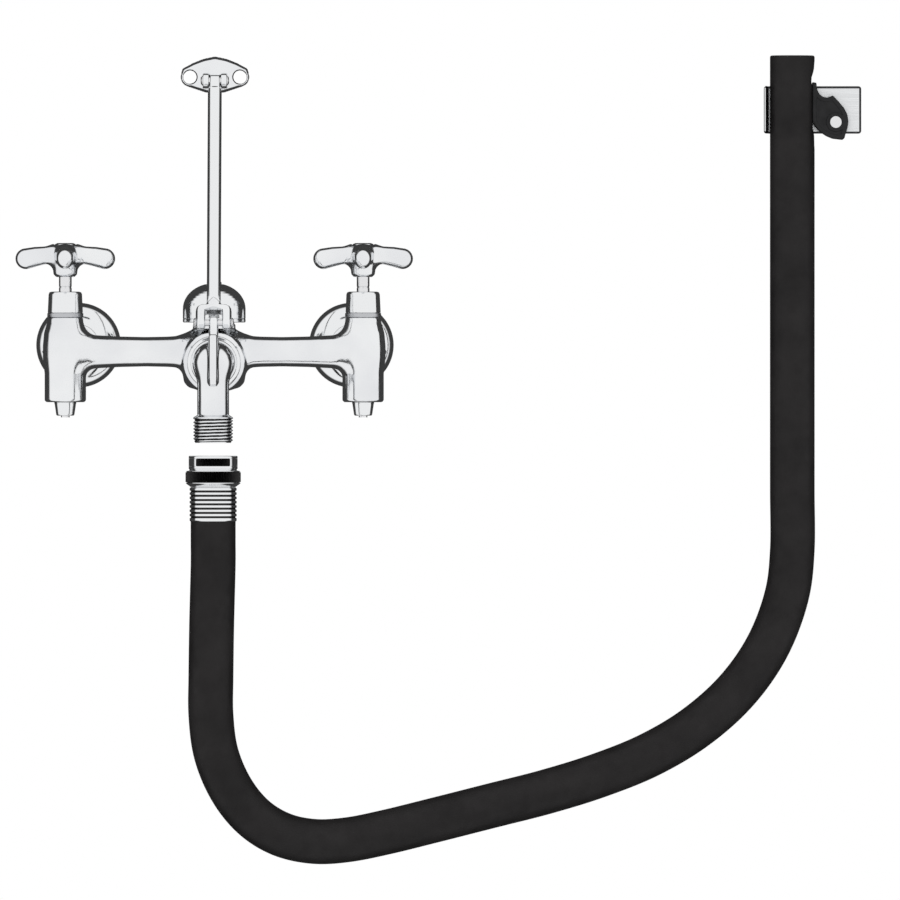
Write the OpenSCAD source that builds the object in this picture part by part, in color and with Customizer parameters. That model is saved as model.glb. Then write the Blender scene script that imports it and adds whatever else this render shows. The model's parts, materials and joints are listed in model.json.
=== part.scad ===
// Wall-mounted service sink faucet with vacuum breaker, wall brace, rubber hose and hose bracket.
// Millimetres, +Z up. The wall is the plane y = 0 and the faucet stands out of it towards -Y.
// The origin lies midway between the two supply inlets.

/* [Layout] */
// Distance between the two valve axes
valve_spacing = 203.2; // [190:0.1:230]
// Distance of the valve axes from the wall
valve_reach = 66; // [66:1:80]
// Distance of the hose outlet from the wall
outlet_reach = 155; // [150:1:190]
// Offset of the eccentric inlets
inlet_offset = 9.5; // [6:0.1:10]
// Angle of that offset above the horizontal
inlet_angle = 30; // [0:1:60]

/* [Casting] */
// Radius of the hub
hub_r = 22; // [21:0.1:26]
// Depth of the hub below the bridge axis
hub_depth = 26; // [24:0.5:32]
// Radius of the neck under the vacuum breaker
neck_r = 14.5; // [13.5:0.1:16]
// Height of the neck above the bridge axis
neck_h = 19; // [18:0.5:24]
// Radius of the bridge between hub and barrels
bridge_r = 10; // [9.5:0.1:11]
// Radius of the valve barrel at its middle
barrel_r = 15.3; // [15:0.1:17]
// Radius of the valve barrel at its foot
foot_r = 14.1; // [12.5:0.1:14.8]
// Height of the valve barrel above the bridge axis
barrel_h = 23.4; // [22:0.1:28]
// Depth of the valve barrel below the bridge axis
barrel_depth = 34.4; // [33:0.1:40]
// Radius of the valve chamber
chamber_r = 9.6; // [9.2:0.1:10]
// Radius of the waterways
water_r = 6.5; // [5:0.1:6.8]

/* [Inlets] */
// Bore radius of the threaded inlet
inlet_bore_r = 9.5; // [8:0.1:10]
// Depth of the threaded inlet
inlet_bore_depth = 16; // [12:0.5:18]
// Wall of the eccentric around the inlet
inlet_wall = 3.9; // [3:0.1:4.5]
// Radius of the escutcheon
escutcheon_r = 29; // [26:0.5:34]
// Depth of the escutcheon's dome
escutcheon_depth = 13; // [9:0.5:16]
// Radius of the valve's threaded inlet neck
union_thread_r = 12.2; // [12:0.1:13]
// Width of the union nut across its flats
union_flats = 28; // [27.5:0.1:31]

/* [Handles] */
// Reach of the handle's arms from the stem axis
handle_reach = 34; // [30:0.5:40]
// Radius of the arms near the hub
handle_arm_r = 6; // [5:0.1:6.5]
// Radius of the arms at their tips
handle_tip_r = 7.2; // [6.6:0.1:8]
// Height of the arms above the bridge axis
handle_h = 65; // [64:0.5:72]
// Radius of the stem
stem_r = 4.35; // [4:0.05:4.6]
// Width of the stem's square drive
drive_w = 5.6; // [5:0.1:5.8]
// Lift of the stem from shut to open
stem_lift = 3.2; // [2:0.1:4]

/* [Spout] */
// Drop of the spout axis below the bridge axis
spout_drop = 7.5; // [6:0.1:9]
// Radius of the spout's barrel
spout_r = 13.9; // [13:0.1:14.2]
// Radius of the spout's down pipe
down_r = 10.8; // [10:0.1:12]
// Waterway radius of the spout
spout_bore_r = 8; // [7:0.1:9]
// Length of the plain down pipe below the spout axis
down_length = 37.3; // [34:0.1:44]
// Outer radius of the hose thread
hose_thread_r = 13.5; // [13:0.1:14]
// Length of the hose thread
hose_thread_length = 17.4; // [15:0.1:20]
// Thickness of the lug and pail hook
lug_w = 6.5; // [5:0.1:8]

/* [Brace] */
// Distance of the lug's pin from the wall
lug_reach = 116; // [112:1:122]
// Height of the lug's pin above the spout axis
lug_pin_h = 27; // [25.5:0.5:30]
// Height of the wall flange's pin above the inlets
flange_h = 181; // [150:1:230]
// Distance of the wall flange's pin from the wall
flange_reach = 12; // [11:0.5:16]
// Radius of the brace rod
rod_r = 4.75; // [4.6:0.05:5.5]
// Radius of the brace's pins
pin_r = 2.2; // [1.8:0.1:2.6]
// Half the distance between the wall flange's screw holes
flange_hole_x = 17; // [16:0.5:20]
// Radius of the wall flange's screw holes
flange_hole_r = 4.2; // [2.5:0.1:4.6]

/* [Hose] */
// Outer radius of the hose
hose_r = 15.3; // [14:0.1:15.6]
// Gap between the outlet and the unscrewed coupling
coupling_gap = 8.8; // [1:0.1:12]
// Outer radius of the coupling's collar
collar_r = 16.6; // [16:0.1:17.5]
// Outer radius of the coupling's knurled ring
knurl_r = 18.8; // [18:0.1:20]
// Depth of the coupling's thread
collar_depth = 13; // [12:0.1:15]
// Outer radius of the ferrule
ferrule_r = 16; // [15.6:0.1:17]
// Length of the ferrule
ferrule_length = 23.3; // [20:0.1:28]

/* [Bracket] */
// Width of the bracket's plate
plate_w = 68; // [60:1:80]
// Height of the bracket's plate
plate_h = 33.6; // [26:0.2:40]
// Thickness of the bracket's sheet
sheet = 2; // [1.5:0.1:2.2]
// Thickness of the cam
cam_w = 14; // [10:0.5:16]
// Radius of the cam's pin
cam_pin_r = 3; // [2:0.1:3.5]
// Half the distance between the bracket's screw holes
plate_hole_z = 9; // [7:0.5:10]
// Radius of the bracket's screw holes
plate_hole_r = 2.6; // [2:0.1:3]

/* [Hidden] */
$fn = 96;

// Finishes
chrome = [0.80, 0.82, 0.84];
brass = [0.80, 0.66, 0.36];
steel = [0.70, 0.72, 0.74];
rubber = [0.07, 0.07, 0.08];
fibre = [0.45, 0.30, 0.22];
hot = [0.75, 0.10, 0.08];
cold = [0.08, 0.22, 0.70];

// Clearances
run = 0.05;        // between a turning or sliding piece and its bore
seat_gap = 0.1;    // between faces that are screwed together
thread_gap = 0.1;  // between a male and a female thread
cut = 1;           // overshoot of a cutting solid

// Places of the main axes
valve_x = valve_spacing / 2;
arm_z = -inlet_offset * sin(inlet_angle);
inlet_x = valve_x - inlet_offset * cos(inlet_angle);
spout_z = arm_z - spout_drop;

// Bridge: distances from the valve axis
bridge_flare = 2.4;
bridge_collar = 14;
bridge_shoulder = 21;
bridge_taper = 37;
bridge_waist = 55;
bridge_swell = 70;
bridge_end = valve_x - hub_r / 2;

// Valve: heights above the bridge axis
seat_top = -7;
seat_thickness = 4;
seat_hole_r = 4;
seat_ring_r = 7.5;
washer_t = 3;
washer_r = 6.5;
stem_foot = seat_top + washer_t;
stem_thread_r = 6;
stem_thread_top = barrel_h - stem_lift - 1;
bonnet_flange_t = 3;
bonnet_top = barrel_h + bonnet_flange_t;
bonnet_tube_r = 8.4;
bonnet_tube_h = 8;
bonnet_skirt = 13;
packing_r = 6.4;
packing_t = 4;
nut_h = 14.6;
nut_r = 12;
nut_top_r = 11.3;
nut_top = bonnet_top + nut_h;

// Handle: heights above the bridge axis
handle_drop = 14;
handle_crown = 6.5;
handle_foot = handle_h - handle_drop;
handle_top = handle_h + handle_crown;
handle_foot_r = 7.2;
handle_neck_r = 10;
handle_flare_h = 7;
button_depth = 2;
drive_margin = 4;
tip_length = 11;
tip_round = 3.4;
button_r = 7.5;
button_rise = 2.8;
button_seat = handle_top - button_depth;
screw_head_r = 4;
screw_head_t = 3;
screw_r = 1.9;
drive_top = button_seat - screw_head_t - drive_margin;
arm_droop = 3;
arm_root = 6;

// Stop at the barrel's foot: depths below the bridge axis
stop_chamber_r = 7;
stop_seat = 14;
stop_travel = 6;
stop_washer_t = 2;
stop_washer_r = 6;
stop_stem_r = 3;
stop_open = stop_seat + stop_travel + 0.3;
stop_plug_h = 6;
stop_nub_h = 9.2;
stop_nub_r = 7.4;
stop_nub_end_r = 6;
stop_end = barrel_depth + stop_nub_h;
stop_packing_r = 4.6;

// Inlet union: distances from the wall
eccentric_neck_r = inlet_bore_r + inlet_wall;
block_start = 20;
block_end = 26;
tail_r = 9.4;
tail_bore_r = 6;
collar_start = 33;
collar_t = 4;
union_collar_r = 11.6;
union_washer_t = 1.5;
union_face = collar_start + collar_t + union_washer_t;
union_start = collar_start - 3;
union_end = union_face + 7.5;

// Vacuum breaker: heights above the bridge axis
cage_plug_r = neck_r - 3.6;
cage_plug_h = 7;
cage_floor_t = 4;
cage_flange_r = neck_r - 0.7;
cage_flange_t = 2.5;
cage_r = 11.5;
cage_boss_r = 4.5;
cage_chamber_r = 9.2;
float_r = 8.6;
float_t = 3;
float_guide_r = 2;
float_guide_h = 6;
float_lift = 4;
cage_chamber_h = float_t + float_guide_h + float_lift + 4;
cage_floor = neck_h - cage_plug_h + cage_floor_t;
cage_top = cage_floor + cage_chamber_h + 3;
window_w = 6;
window_h = 7;
window_foot = 9;
hood_r = 21.4;
hood_rise = 17.5;
hood_flat = 75;
hood_skirt = 8.5;
hood_rim = neck_h + 1.8;
hood_wall = 1.5;
hood_shoulder = hood_rim + hood_skirt;
hood_top = hood_shoulder + hood_rise * sin(hood_flat);
hood_seat = hood_shoulder + (hood_rise - hood_wall) * sin(hood_flat);

// Spout joint: distances from the wall
boss_r = 16.4;
boss_face = valve_reach + hub_r + 3;
gasket_t = 1.5;
spout_flange_t = 2.5;
spout_flange_r = boss_r - 0.6;
spout_start = boss_face + gasket_t;
spout_nut_r = 18.3;
spout_nut_start = valve_reach + hub_r + 0.4;
spout_lip = spout_start + spout_flange_t;
spout_nut_end = spout_lip + 3;

// Hose thread
thread_pitch = 2.2;
thread_depth = 1.2;
outlet_z = spout_z - down_length - hose_thread_length;

// Lug and pail hook: heights above the spout axis, distances from the outlet axis
lug_end_r = 4.8;
lug_foot = 20;
hook_front = 17;
hook_top = 19;
hook_back = 7;
hook_depth = 15.5;

// Brace
lug_pin_z = spout_z + lug_pin_h;
brace_rise = flange_h - lug_pin_z;
brace_run = lug_reach - flange_reach;
brace_length = norm([brace_rise, brace_run]);
brace_lean = atan2(brace_run, brace_rise);
clevis_w = 24.4;
clevis_slot = 11.3;
clevis_d = 9.4;
clevis_inner = 8.5;
clevis_outer = 13.5;
clevis_corner = 5;
clevis_boss_h = 3;
rod_start = clevis_outer + clevis_boss_h;
rod_thread_r = 3.9;
tongue_w = 8;
tongue_r = 4;
tongue_length = 9;
ear_w = 4.1;
ear_gap = 8.2;
ear_r = 5;
flange_t = 4;
flange_end_r = 7;
flange_top_r = 36;
flange_top_rise = 14.2;
flange_foot = 10.8;
flange_foot_w = 12;
flange_hole_rise = 2.5;
pin_head_r = 3.4;
pin_head_t = 1.5;

// Coupling: heights from its top edge
coupling_z = outlet_z - coupling_gap;
collar_h = 10;
ring_h = 8.5;
nut_foot = 21.2;
hose_washer_t = 3;
hose_washer_r = hose_thread_r - seat_gap;
shank_flange_t = 2.3;
shank_r = 10.5;
barb_r = 9.6;
shank_bore_r = 7.5;
nut_lip_r = shank_r + run;
knurl_count = 48;
knurl_depth = 0.5;
ferrule_top_t = 2;
ferrule_wall = 1.7;
ferrule_rings = 7;
ferrule_groove = 0.7;
ferrule_groove_w = 1.2;
hose_neck_r = ferrule_r - ferrule_wall - seat_gap;
hose_neck_top = coupling_z - nut_foot - ferrule_top_t - 2 * seat_gap;
ferrule_foot = coupling_z - nut_foot - seat_gap - ferrule_length;

// Hose: centre line, from the coupling down, across and up to the bracket
hose_route = [
    [0, -155, -120.5], [0, -155, -135], [0, -155, -150], [-1, -155, -190], [-1.5, -155, -225],
    [-1.5, -155, -252], [2, -154, -278], [12, -151, -302], [27, -146, -321], [46, -140, -333],
    [68, -132, -338], [91, -124, -337], [117, -116, -332], [150, -105, -324], [190, -91, -314],
    [226, -79, -305], [262, -67, -294], [297, -55, -280], [329, -44, -261], [357, -35, -236],
    [378, -28, -206], [391, -23, -172], [395, -22, -140], [395, -22, -100], [395, -22, -60],
    [395, -22, 0], [395, -22, 60], [395, -22, 120], [395, -22, 160], [395, -22, 198]
];
hose_sides = 12;
hose_steps = 2;
hose_x = 395;
hose_wall_y = 22;

// Bracket
plate_left = 375;
plate_z = 161;
claw_reach = hose_wall_y + 9;
cam_x = hose_x + hose_r + 14.3;
cam_z = plate_z - 8.6;
cam_gap = 0.3;
cam_toe_h = 27.2;
cam_toe_w = 1.6;
cam_neck_h = 22;
cam_step_h = 16.6;
cam_back_r = 8.8;
cam_tail = 12.1;
cam_start = hose_wall_y - cam_w / 2;
cam_head_r = 4.2;
cam_head_t = 2;
cam_shoulder_r = 5;

// ---- Helpers ----

// Solid of revolution about Z from [radius, height] points
module turned(outline) rotate_extrude() polygon(outline);

// Child's +Z points out of the wall, its X and Y become X and Z
module outward() rotate([90, 0, 0]) children();

// Child's outline is drawn in [distance from the wall, height], centred on x = 0
module side_view(width) rotate([90, 0, -90]) linear_extrude(width, center = true) children();

module rod(r, from, to) translate([0, 0, from]) cylinder(r = r, h = to - from);

module tube(outer, inner, from, to) difference() {
    rod(outer, from, to);
    rod(inner, from - cut, to + cut);
}

module across(r, width) rotate([0, 90, 0]) cylinder(r = r, h = width, center = true);

function arc(r, from, to, step) = [for (a = [from : step : to]) r * [cos(a), sin(a)]];

module at_valve(side) translate([side * valve_x, -valve_reach, arm_z]) children();
module at_hub() translate([0, -valve_reach, arm_z]) children();
module at_inlet(side) translate([side * inlet_x, 0, 0]) outward() children();
module at_valve_inlet(side) translate([side * valve_x, 0, arm_z]) outward() children();
module at_spout() translate([0, 0, spout_z]) outward() children();
module at_outlet() translate([0, -outlet_reach, spout_z]) children();
module at_lug_pin() translate([0, -lug_reach, lug_pin_z]) children();
module at_brace() at_lug_pin() rotate([-brace_lean, 0, 0]) children();
module at_flange_pin() translate([0, -flange_reach, flange_h]) children();
module at_coupling() translate([0, -outlet_reach, coupling_z]) children();
module at_cam() translate([cam_x, 0, cam_z]) outward() children();

// ---- Casting ----

module hub_shape() turned([
    [0, -hub_depth], [hub_r - 10.5, -hub_depth], [hub_r - 4.6, -hub_depth + 1.6],
    [hub_r - 1.4, -hub_depth + 5], [hub_r, -hub_depth + 13.5], [hub_r, neck_h - 9.5],
    [neck_r + 3.5, neck_h - 6.2], [neck_r, neck_h - 3.6], [neck_r, neck_h], [0, neck_h]
]);

module barrel_shape() turned([
    [0, -barrel_depth], [foot_r - 1.2, -barrel_depth], [foot_r, -barrel_depth + 1.2],
    [foot_r, -15], [barrel_r, -4], [barrel_r, 4], [barrel_r - 0.8, 13],
    [nut_r + 0.4, barrel_h - 3.4], [nut_r, barrel_h], [0, barrel_h]
]);

// Half of the bridge, from the barrel's axis to the hub's axis
module bridge_shape() turned([
    [0, 0], [bridge_r + bridge_flare, 0], [bridge_r + bridge_flare, bridge_collar],
    [bridge_r + bridge_flare / 2, bridge_shoulder], [bridge_r + bridge_flare / 6, bridge_taper],
    [bridge_r, bridge_waist], [bridge_r + bridge_flare / 8, bridge_swell],
    [bridge_r + bridge_flare / 2.4, valve_x - hub_r], [bridge_r + bridge_flare / 1.7, bridge_end],
    [0, bridge_end]
]);

module valve_bores() {
    rod(chamber_r, seat_top, barrel_h + cut);
    rod(seat_ring_r + thread_gap, seat_top - seat_thickness, seat_top + cut);
    rod(seat_hole_r, -stop_seat - cut, seat_top);
    rod(stop_chamber_r, -barrel_depth - cut, -stop_seat);
    // Supply: from the union face down into the stop chamber
    outlet = [0, 3, -stop_seat - 5];
    mouth = [0, valve_reach - union_face + cut, -2];
    translate(outlet) rotate([-atan2(mouth[1] - outlet[1], mouth[2] - outlet[2]), 0, 0])
        cylinder(r = 3.4, h = norm(mouth - outlet));
}

module faucet_body() color(chrome) difference() {
    union() {
        at_hub() hub_shape();
        at_spout() rod(boss_r, valve_reach, boss_face);
        for (side = [-1, 1]) {
            at_valve(side) barrel_shape();
            at_valve(side) rotate([0, -side * 90, 0]) bridge_shape();
            at_valve_inlet(side) rod(union_thread_r, union_face, valve_reach);
        }
    }
    at_hub() {
        rod(cage_plug_r + thread_gap, neck_h - cage_plug_h, neck_h + cut);
        rod(water_r + 1, -hub_depth + 9, neck_h);
        rotate([0, 90, 0]) cylinder(r = water_r, h = valve_spacing, center = true);
    }
    at_spout() rod(spout_bore_r, valve_reach, boss_face + cut);
    for (side = [-1, 1]) at_valve(side) valve_bores();
}

// ---- Valve ----

module bonnet() color(brass) difference() {
    union() {
        rod(chamber_r - thread_gap, barrel_h - bonnet_skirt, barrel_h);
        rod(nut_r + 0.3, barrel_h, bonnet_top);
        rod(bonnet_tube_r, bonnet_top, bonnet_top + bonnet_tube_h);
    }
    rod(stem_thread_r + run, barrel_h - bonnet_skirt - cut, barrel_h);
    rod(stem_r + run, barrel_h - cut, bonnet_top + bonnet_tube_h + cut);
    rod(packing_r, bonnet_top + bonnet_tube_h - packing_t, bonnet_top + bonnet_tube_h + cut);
}

module packing() color(fibre)
    tube(packing_r - run, stem_r + run, bonnet_top + bonnet_tube_h - packing_t,
         bonnet_top + bonnet_tube_h);

module packing_nut() color(chrome) difference() {
    turned([
        [0, bonnet_top], [nut_r, bonnet_top], [nut_top_r, nut_top - 1.8],
        [nut_top_r - 0.5, nut_top - 0.5], [nut_top_r - 1.8, nut_top], [0, nut_top]
    ]);
    rod(bonnet_tube_r + thread_gap, bonnet_top - cut, bonnet_top + bonnet_tube_h + seat_gap);
    rod(stem_r + run, bonnet_top, nut_top + cut);
}

module stem() color(steel) difference() {
    union() {
        rod(stem_thread_r, stem_foot, stem_thread_top);
        rod(stem_r, stem_thread_top, handle_foot);
        translate([-drive_w / 2, -drive_w / 2, handle_foot])
            cube([drive_w, drive_w, drive_top - handle_foot - seat_gap]);
    }
    rod(screw_r + run, handle_foot - 4, drive_top + cut);
    rod(screw_r + run, stem_foot - cut, stem_foot + 6);
}

module seat_washer() color(rubber) tube(washer_r, screw_r + run, seat_top, stem_foot);

module washer_screw() color(brass) {
    rod(seat_hole_r - 0.6, seat_top - 1.6, seat_top);
    rod(screw_r, seat_top, stem_foot + 5);
}

module valve_seat() color(brass)
    tube(seat_ring_r, seat_hole_r, seat_top - seat_thickness, seat_top);

// ---- Handle ----

module handle_arm() rotate([0, 90 + arm_droop, 0]) turned([
    [0, arm_root], [handle_arm_r * 1.1, arm_root], [handle_arm_r, arm_root + handle_neck_r],
    [handle_tip_r * 0.96, handle_reach - tip_length], [handle_tip_r, handle_reach - 2.2 * tip_round],
    [handle_tip_r * 0.89, handle_reach - tip_round], [handle_tip_r * 0.58, handle_reach - tip_round / 4],
    [handle_tip_r * 0.3, handle_reach], [0, handle_reach]
]);

module handle() color(chrome) difference() {
    union() {
        turned([
            [0, handle_foot], [handle_foot_r, handle_foot],
            [handle_foot_r * 1.08, handle_foot + handle_flare_h / 5],
            [handle_neck_r, handle_foot + handle_flare_h], [handle_neck_r * 1.1, handle_h],
            [handle_neck_r, handle_top - handle_crown / 6], [handle_neck_r * 0.88, handle_top],
            [0, handle_top]
        ]);
        for (turn = [0 : 90 : 270]) rotate(turn) translate([0, 0, handle_h]) handle_arm();
    }
    rod(button_r + run, button_seat, handle_top + handle_tip_r);
    rod(screw_head_r + run, button_seat - screw_head_t, button_seat + cut);
    rod(screw_r + run, drive_top - cut, button_seat);
    hole = drive_w + 2 * run;
    translate([-hole / 2, -hole / 2, handle_foot - cut])
        cube([hole, hole, drive_top - handle_foot + cut]);
}

module handle_screw() color(steel) difference() {
    union() {
        rod(screw_head_r, button_seat - screw_head_t, button_seat - seat_gap);
        rod(screw_r, handle_foot - 3, button_seat - screw_head_t);
    }
    translate([0, 0, button_seat - 1]) cube([2 * screw_head_r + cut, 1.2, 2 + cut], center = true);
}

module index_button(tint) color(tint) turned([
    [0, button_seat], [button_r, button_seat], [button_r, handle_top + button_rise / 10],
    [button_r * 0.84, handle_top + button_rise * 0.57],
    [button_r * 0.52, handle_top + button_rise * 0.9], [0, handle_top + button_rise]
]);

// ---- Stop ----

module stop_bonnet() color(chrome) difference() {
    turned([
        [0, -stop_end], [stop_nub_end_r, -stop_end], [stop_nub_end_r + 0.4, -stop_end + 0.8],
        [stop_nub_r, -barrel_depth - seat_gap],
        [stop_chamber_r - thread_gap, -barrel_depth - seat_gap],
        [stop_chamber_r - thread_gap, -barrel_depth + stop_plug_h], [0, -barrel_depth + stop_plug_h]
    ]);
    rod(stop_stem_r + run, -stop_end - cut, -barrel_depth + stop_plug_h + cut);
    rod(stop_packing_r, -barrel_depth - 2, -barrel_depth + 2);
}

module stop_packing() color(rubber)
    tube(stop_packing_r - run, stop_stem_r + run, -barrel_depth - 2 + run, -barrel_depth + 2 - run);

module stop_stem() color(steel) difference() {
    rod(stop_stem_r, -stop_end - 1.2, -stop_open - stop_washer_t);
    translate([0, 0, -stop_end - 1.2]) cube([2 * stop_stem_r + cut, 1, 2.4], center = true);
}

module stop_washer() color(rubber)
    rod(stop_washer_r, -stop_open - stop_washer_t, -stop_open);

// ---- Inlets ----

module eccentric(side) color(chrome) difference() {
    union() {
        at_inlet(side) rod(eccentric_neck_r, 0.5, block_end);
        hull() {
            at_inlet(side) rod(eccentric_neck_r, block_start, block_end);
            at_valve_inlet(side) rod(union_thread_r, block_start, block_end);
        }
        at_valve_inlet(side) rod(tail_r, block_end, collar_start + collar_t);
        at_valve_inlet(side) rod(union_collar_r, collar_start, collar_start + collar_t);
    }
    at_inlet(side) rod(inlet_bore_r, 0, inlet_bore_depth);
    at_inlet(side) rod(tail_bore_r, 0, block_end - 2);
    at_valve_inlet(side) rod(tail_bore_r, inlet_bore_depth - 1, union_face);
}

module escutcheon(side) color(chrome) at_inlet(side) {
    flare = escutcheon_r - eccentric_neck_r - seat_gap;
    outer = [for (a = [0 : 10 : 90])
        [eccentric_neck_r + seat_gap + flare * cos(a), escutcheon_depth * sin(a)]];
    inner = [for (a = [90 : -10 : 0])
        [eccentric_neck_r + seat_gap + (flare - 1.2) * cos(a), (escutcheon_depth - 1.2) * sin(a)]];
    turned(concat(outer, inner));
}

module inlet_washer(side) color(rubber) at_valve_inlet(side)
    tube(union_collar_r, tail_bore_r, collar_start + collar_t, union_face);

module union_nut(side) color(chrome) at_valve_inlet(side) difference() {
    translate([0, 0, union_start])
        cylinder(r = union_flats / 2 / cos(30), h = union_end - union_start, $fn = 6);
    rod(tail_r + run, union_start - cut, collar_start);
    rod(union_thread_r + thread_gap, collar_start - seat_gap, union_end + cut);
}

// ---- Vacuum breaker ----

module vacuum_cage() color(brass) at_hub() difference() {
    union() {
        rod(cage_plug_r, neck_h - cage_plug_h, neck_h);
        rod(cage_flange_r, neck_h, neck_h + cage_flange_t);
        rod(cage_r, neck_h, cage_top);
        rod(cage_boss_r, cage_top, hood_seat);
    }
    rod(water_r - 0.5, neck_h - cage_plug_h - cut, cage_floor);
    rod(cage_chamber_r, cage_floor, cage_floor + cage_chamber_h);
    rod(screw_r + run, cage_top - 1, hood_top);
    for (turn = [45 : 90 : 315]) rotate(turn)
        translate([cage_chamber_r - cut, -window_w / 2, cage_floor + window_foot])
            cube([cage_r, window_w, window_h]);
}

module vacuum_float() color(fibre) at_hub() {
    rod(float_r, cage_floor, cage_floor + float_t);
    rod(float_guide_r, cage_floor + float_t, cage_floor + float_t + float_guide_h);
}

// Outline of a dome with a flat top, standing on straight sides
function dome(r, rise, rim) = concat(
    [[0, rim], [r, rim]],
    [for (a = [0 : 7.5 : hood_flat]) [r * cos(a), hood_shoulder + rise * sin(a)]],
    [[0, hood_shoulder + rise * sin(hood_flat)]]
);

module vacuum_hood() color(chrome) at_hub() difference() {
    turned(dome(hood_r, hood_rise, hood_rim));
    turned(dome(hood_r - hood_wall, hood_rise - hood_wall, hood_rim - cut));
    rod(screw_r + run, hood_shoulder, hood_top + cut);
}

module hood_screw() color(chrome) at_hub() {
    turned([
        [0, hood_top], [5, hood_top], [5, hood_top + 0.8], [4, hood_top + 2], [2, hood_top + 2.6],
        [0, hood_top + 2.7]
    ]);
    rod(screw_r, cage_top, hood_top);
}

// ---- Spout ----

// Lug for the brace, and pail hook beyond the outlet
module lug_outline() {
    front = outlet_reach + hook_front;
    throat = outlet_reach + hook_back;
    top = spout_z + hook_top;
    bottom = spout_z - hook_depth;
    crown = spout_z + spout_r;
    translate([lug_reach, lug_pin_z]) circle(r = lug_end_r);
    polygon([
        [lug_reach - lug_end_r, lug_pin_z], [lug_reach - lug_foot / 2, spout_z],
        [outlet_reach, spout_z], [outlet_reach, bottom - 6], [front - 4, bottom], [front, bottom + 5],
        [front, top - 1.5], [front - 1.5, top], [throat, top], [throat - 1, top - 3],
        [throat - 6, crown], [lug_reach + lug_foot / 2, crown], [lug_reach + lug_end_r, lug_pin_z]
    ]);
}

module spout() color(chrome) difference() {
    union() {
        at_spout() rod(spout_r, spout_start, outlet_reach);
        at_spout() rod(spout_flange_r, spout_start, spout_lip - seat_gap);
        at_outlet() sphere(r = spout_r);
        at_outlet() rod(down_r, -down_length, 0);
        at_outlet() hose_thread();
        side_view(lug_w) lug_outline();
    }
    at_spout() rod(spout_bore_r, spout_start - cut, outlet_reach);
    at_outlet() sphere(r = spout_bore_r);
    at_outlet() rod(spout_bore_r, -down_length - hose_thread_length - cut, 0);
    at_lug_pin() across(pin_r + run, lug_w + 2 * cut);
}

// Male thread as a stack of ridges with flat crests
module hose_thread() {
    bottom = -down_length - hose_thread_length;
    ridges = floor((hose_thread_length - 1.5) / thread_pitch);
    turned(concat(
        [[0, -down_length], [0, bottom], [hose_thread_r - thread_depth, bottom]],
        [for (i = [0 : ridges - 1], p = [
            [hose_thread_r - thread_depth, 0.3], [hose_thread_r, 0.9], [hose_thread_r, 1.5],
            [hose_thread_r - thread_depth, 2.1]
        ]) [p[0], bottom + i * thread_pitch + p[1]]],
        [[hose_thread_r - thread_depth, -down_length - 1.5], [hose_thread_r, -down_length - 1.2],
         [hose_thread_r, -down_length]]
    ));
}

module spout_gasket() color(rubber) at_spout()
    tube(spout_flange_r, spout_bore_r, boss_face, spout_start);

module spout_nut() color(chrome) at_spout() difference() {
    rod(spout_nut_r, spout_nut_start, spout_nut_end);
    rod(boss_r + thread_gap, spout_nut_start - cut, spout_lip);
    rod(spout_r + seat_gap, spout_lip - cut, spout_nut_end + cut);
}

// ---- Brace ----

module brace_clevis() color(chrome) at_brace() difference() {
    union() {
        intersection() {
            rotate([90, 0, 0]) linear_extrude(clevis_d, center = true) difference() {
                union() {
                    square_up = clevis_outer - clevis_corner;
                    translate([-clevis_w / 2, -clevis_d]) square([clevis_w, clevis_d + square_up]);
                    translate([-clevis_w / 2 + clevis_corner, 0])
                        square([clevis_w - 2 * clevis_corner, clevis_outer]);
                    for (s = [-1, 1]) translate([s * (clevis_w / 2 - clevis_corner), square_up])
                        circle(r = clevis_corner);
                }
                translate([-clevis_slot / 2, -clevis_d - cut])
                    square([clevis_slot, clevis_d + cut + clevis_inner]);
            }
            union() {
                across(clevis_d / 2, clevis_w + cut);
                translate([-clevis_w, -clevis_d, 0]) cube([2 * clevis_w, 2 * clevis_d, 2 * clevis_w]);
            }
        }
        translate([0, 0, clevis_outer])
            cylinder(r1 = rod_r + 1.8, r2 = rod_r, h = clevis_boss_h - seat_gap);
    }
    rod(rod_thread_r + run, 0, rod_start + cut);
    across(pin_r + run, clevis_w + cut);
}

module clevis_pin() color(steel) at_lug_pin() {
    across(pin_r, clevis_w + 2 * seat_gap);
    for (s = [-1, 1]) translate([s * (clevis_w / 2 + seat_gap + pin_head_t / 2), 0, 0])
        across(pin_head_r, pin_head_t);
}

module brace_rod() color(chrome) at_brace() difference() {
    union() {
        rod(rod_thread_r, clevis_inner + 1, rod_start);
        rod(rod_r, rod_start, brace_length - tongue_length);
        translate([0, 0, brace_length - tongue_length]) sphere(r = rod_r);
        translate([-tongue_w / 2, -tongue_r, brace_length - tongue_length])
            cube([tongue_w, 2 * tongue_r, tongue_length]);
        translate([0, 0, brace_length]) across(tongue_r, tongue_w);
    }
    translate([0, 0, brace_length]) across(pin_r + run, tongue_w + cut);
}

// Pointed oval seen from the front, about the middle of the screw holes
function flange_outline() =
    let (
        top_centre = [0, flange_top_rise - flange_top_r],
        right = [for (p = arc(flange_end_r, -75, 40, 11.5)) p + [flange_hole_x, 0]],
        top = [for (p = arc(flange_top_r, 62, 118, 8)) p + top_centre],
        left = [for (p = arc(flange_end_r, 140, 255, 11.5)) p + [-flange_hole_x, 0]],
        foot = [for (s = [-1, 1]) [s * flange_foot_w / 2, -flange_foot]]
    )
    concat(right, top, left, foot);

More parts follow.
